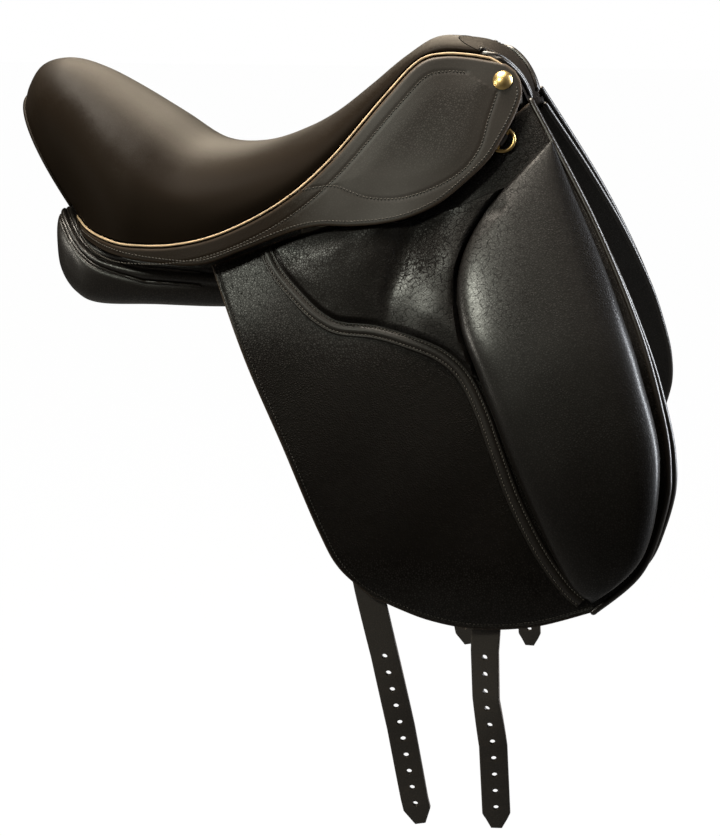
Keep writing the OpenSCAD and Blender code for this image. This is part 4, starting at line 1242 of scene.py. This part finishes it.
class SADDLE_OT_stage(bpy.types.Operator):
    """Camera, soft lamps, pale floor and white surroundings"""

    bl_idname = "saddle.stage"
    bl_label = "Stage"

    def execute(self, context):
        scene = context.scene
        scene.view_settings.view_transform = "Standard"
        level = math.cos(ELEVATION)
        back = Vector((math.sin(AZIMUTH) * level, -math.cos(AZIMUTH) * level, math.sin(ELEVATION)))
        data = bpy.data.cameras.new("camera")
        data.sensor_width = SENSOR
        data.lens = SENSOR * FOCAL_PX / LONG_SIDE_PX
        data.clip_start, data.clip_end = 0.05, 60
        scene.camera = placed("camera", data)
        aimed(scene.camera, Vector(TARGET) * MM + back * DISTANCE, -back)
        world = bpy.data.worlds.new("surroundings")
        world.use_nodes = True
        scene.world = world
        white = seen_white(world.node_tree)
        sky = world.node_tree.nodes["Background"]
        feed(sky, Color=white.mix(WARM_SKY, WHITE), Strength=0.05 + white * 0.95)
        for name, settings in LAMPS.items():
            lamp(name, *settings)
        mesh = bpy.data.meshes.new("floor")
        corners = ((-1, -1), (1, -1), (1, 1), (-1, 1))
        mesh.from_pydata([(x * FLOOR_HALF, y * FLOOR_HALF, FLOOR_Z) for x, y in corners], [], [[0, 1, 2, 3]])
        floor = placed("floor", mesh)
        material, shader, place = surface("pale_floor", Roughness=0.9, Specular_IOR_Level=0.1)
        feed(shader, Base_Color=place.noise(3.0).mix((0.09, 0.09, 0.09, 1), (0.11, 0.11, 0.11, 1)))
        tree = material.node_tree
        glow = tree.nodes.new("ShaderNodeEmission")
        glow.inputs["Strength"].default_value = 1.1
        blend = tree.nodes.new("ShaderNodeMixShader")
        links = ((seen_white(tree) * 0.9).socket, shader.outputs[0], glow.outputs[0])
        for socket, entry in zip(links, blend.inputs):
            tree.links.new(socket, entry)
        tree.links.new(blend.outputs[0], tree.nodes["Material Output"].inputs["Surface"])
        mesh.materials.append(material)
        return {"FINISHED"}


# Settings and panel

def metres(name, description, default, low, high):
    """Property for a length in metres."""
    return bpy.props.FloatProperty(name=name, description=description, default=default, min=low, max=high,
        precision=4, unit="LENGTH")


def tint(name, description, default):
    """Property for a colour."""
    return bpy.props.FloatVectorProperty(name=name, description=description, default=default, size=3,
        min=0, max=1, subtype="COLOR")


class SaddleSizes(bpy.types.PropertyGroup):
    """Sizes of the sewing and trim"""

    stitch_length: metres("Stitch length", "Length of one visible stitch", 0.0023, 0.001, 0.01)
    stitch_pitch: metres("Stitch spacing", "Distance from one stitch to the next", 0.0031, 0.0015, 0.02)
    thread_width: metres("Thread width", "Thickness of the thread", 0.0008, 0.0003, 0.003)
    welt_width: metres("Welt width", "Thickness of the pale cord along the seat", 0.0021, 0.0015, 0.0046)
    binding_width: metres("Binding width", "Thickness of the bound front edges", 0.0056, 0.003, 0.007)
    seam_width: metres("Seam band width", "Width of the sewn band on the flap", 0.0125, 0.006, 0.014)


class SaddleColours(bpy.types.PropertyGroup):
    """Colours of the leathers, thread and brass"""

    leather: tint("Leather", "Colour of the dark leather", (0.0094, 0.0064, 0.0042))
    edge: tint("Leather edge", "Colour of worn and cut edges", (0.075, 0.055, 0.04))
    welt: tint("Welt", "Colour of the pale cord", (0.5, 0.36, 0.22))
    thread: tint("Thread", "Colour of the stitching", (0.065, 0.058, 0.05))
    brass: tint("Brass", "Colour of the stud and rings", (0.72, 0.5, 0.2))


PIECES = (SADDLE_OT_stage, SADDLE_OT_seat, SADDLE_OT_facing, SADDLE_OT_welts, SADDLE_OT_skirts,
    SADDLE_OT_flaps, SADDLE_OT_blocks, SADDLE_OT_pads, SADDLE_OT_panels, SADDLE_OT_billets,
    SADDLE_OT_fittings)


class SADDLE_PT_builder(bpy.types.Panel):
    """Lists the pieces of the saddle and their settings"""

    bl_idname = "SADDLE_PT_builder"
    bl_label = "Dressage Saddle"
    bl_space_type = "VIEW_3D"
    bl_region_type = "UI"
    bl_category = "Saddle"

    def draw(self, context):
        column = self.layout.column()
        for group in (context.scene.saddle_sizes, context.scene.saddle_colours):
            for key in group.__annotations__:
                column.prop(group, key)
        for piece in PIECES:
            column.operator(piece.bl_idname)


CLASSES = (SaddleSizes, SaddleColours, *PIECES, SADDLE_PT_builder)


def register():
    for item in CLASSES:
        bpy.utils.register_class(item)
    bpy.types.Scene.saddle_sizes = bpy.props.PointerProperty(type=SaddleSizes)
    bpy.types.Scene.saddle_colours = bpy.props.PointerProperty(type=SaddleColours)


def unregister():
    del bpy.types.Scene.saddle_colours
    del bpy.types.Scene.saddle_sizes
    for item in reversed(CLASSES):
        bpy.utils.unregister_class(item)


def main():
    register()
    for piece in PIECES:
        group, name = piece.bl_idname.split(".")
        getattr(getattr(bpy.ops, group), name)()


if __name__ == "__main__":
    main()
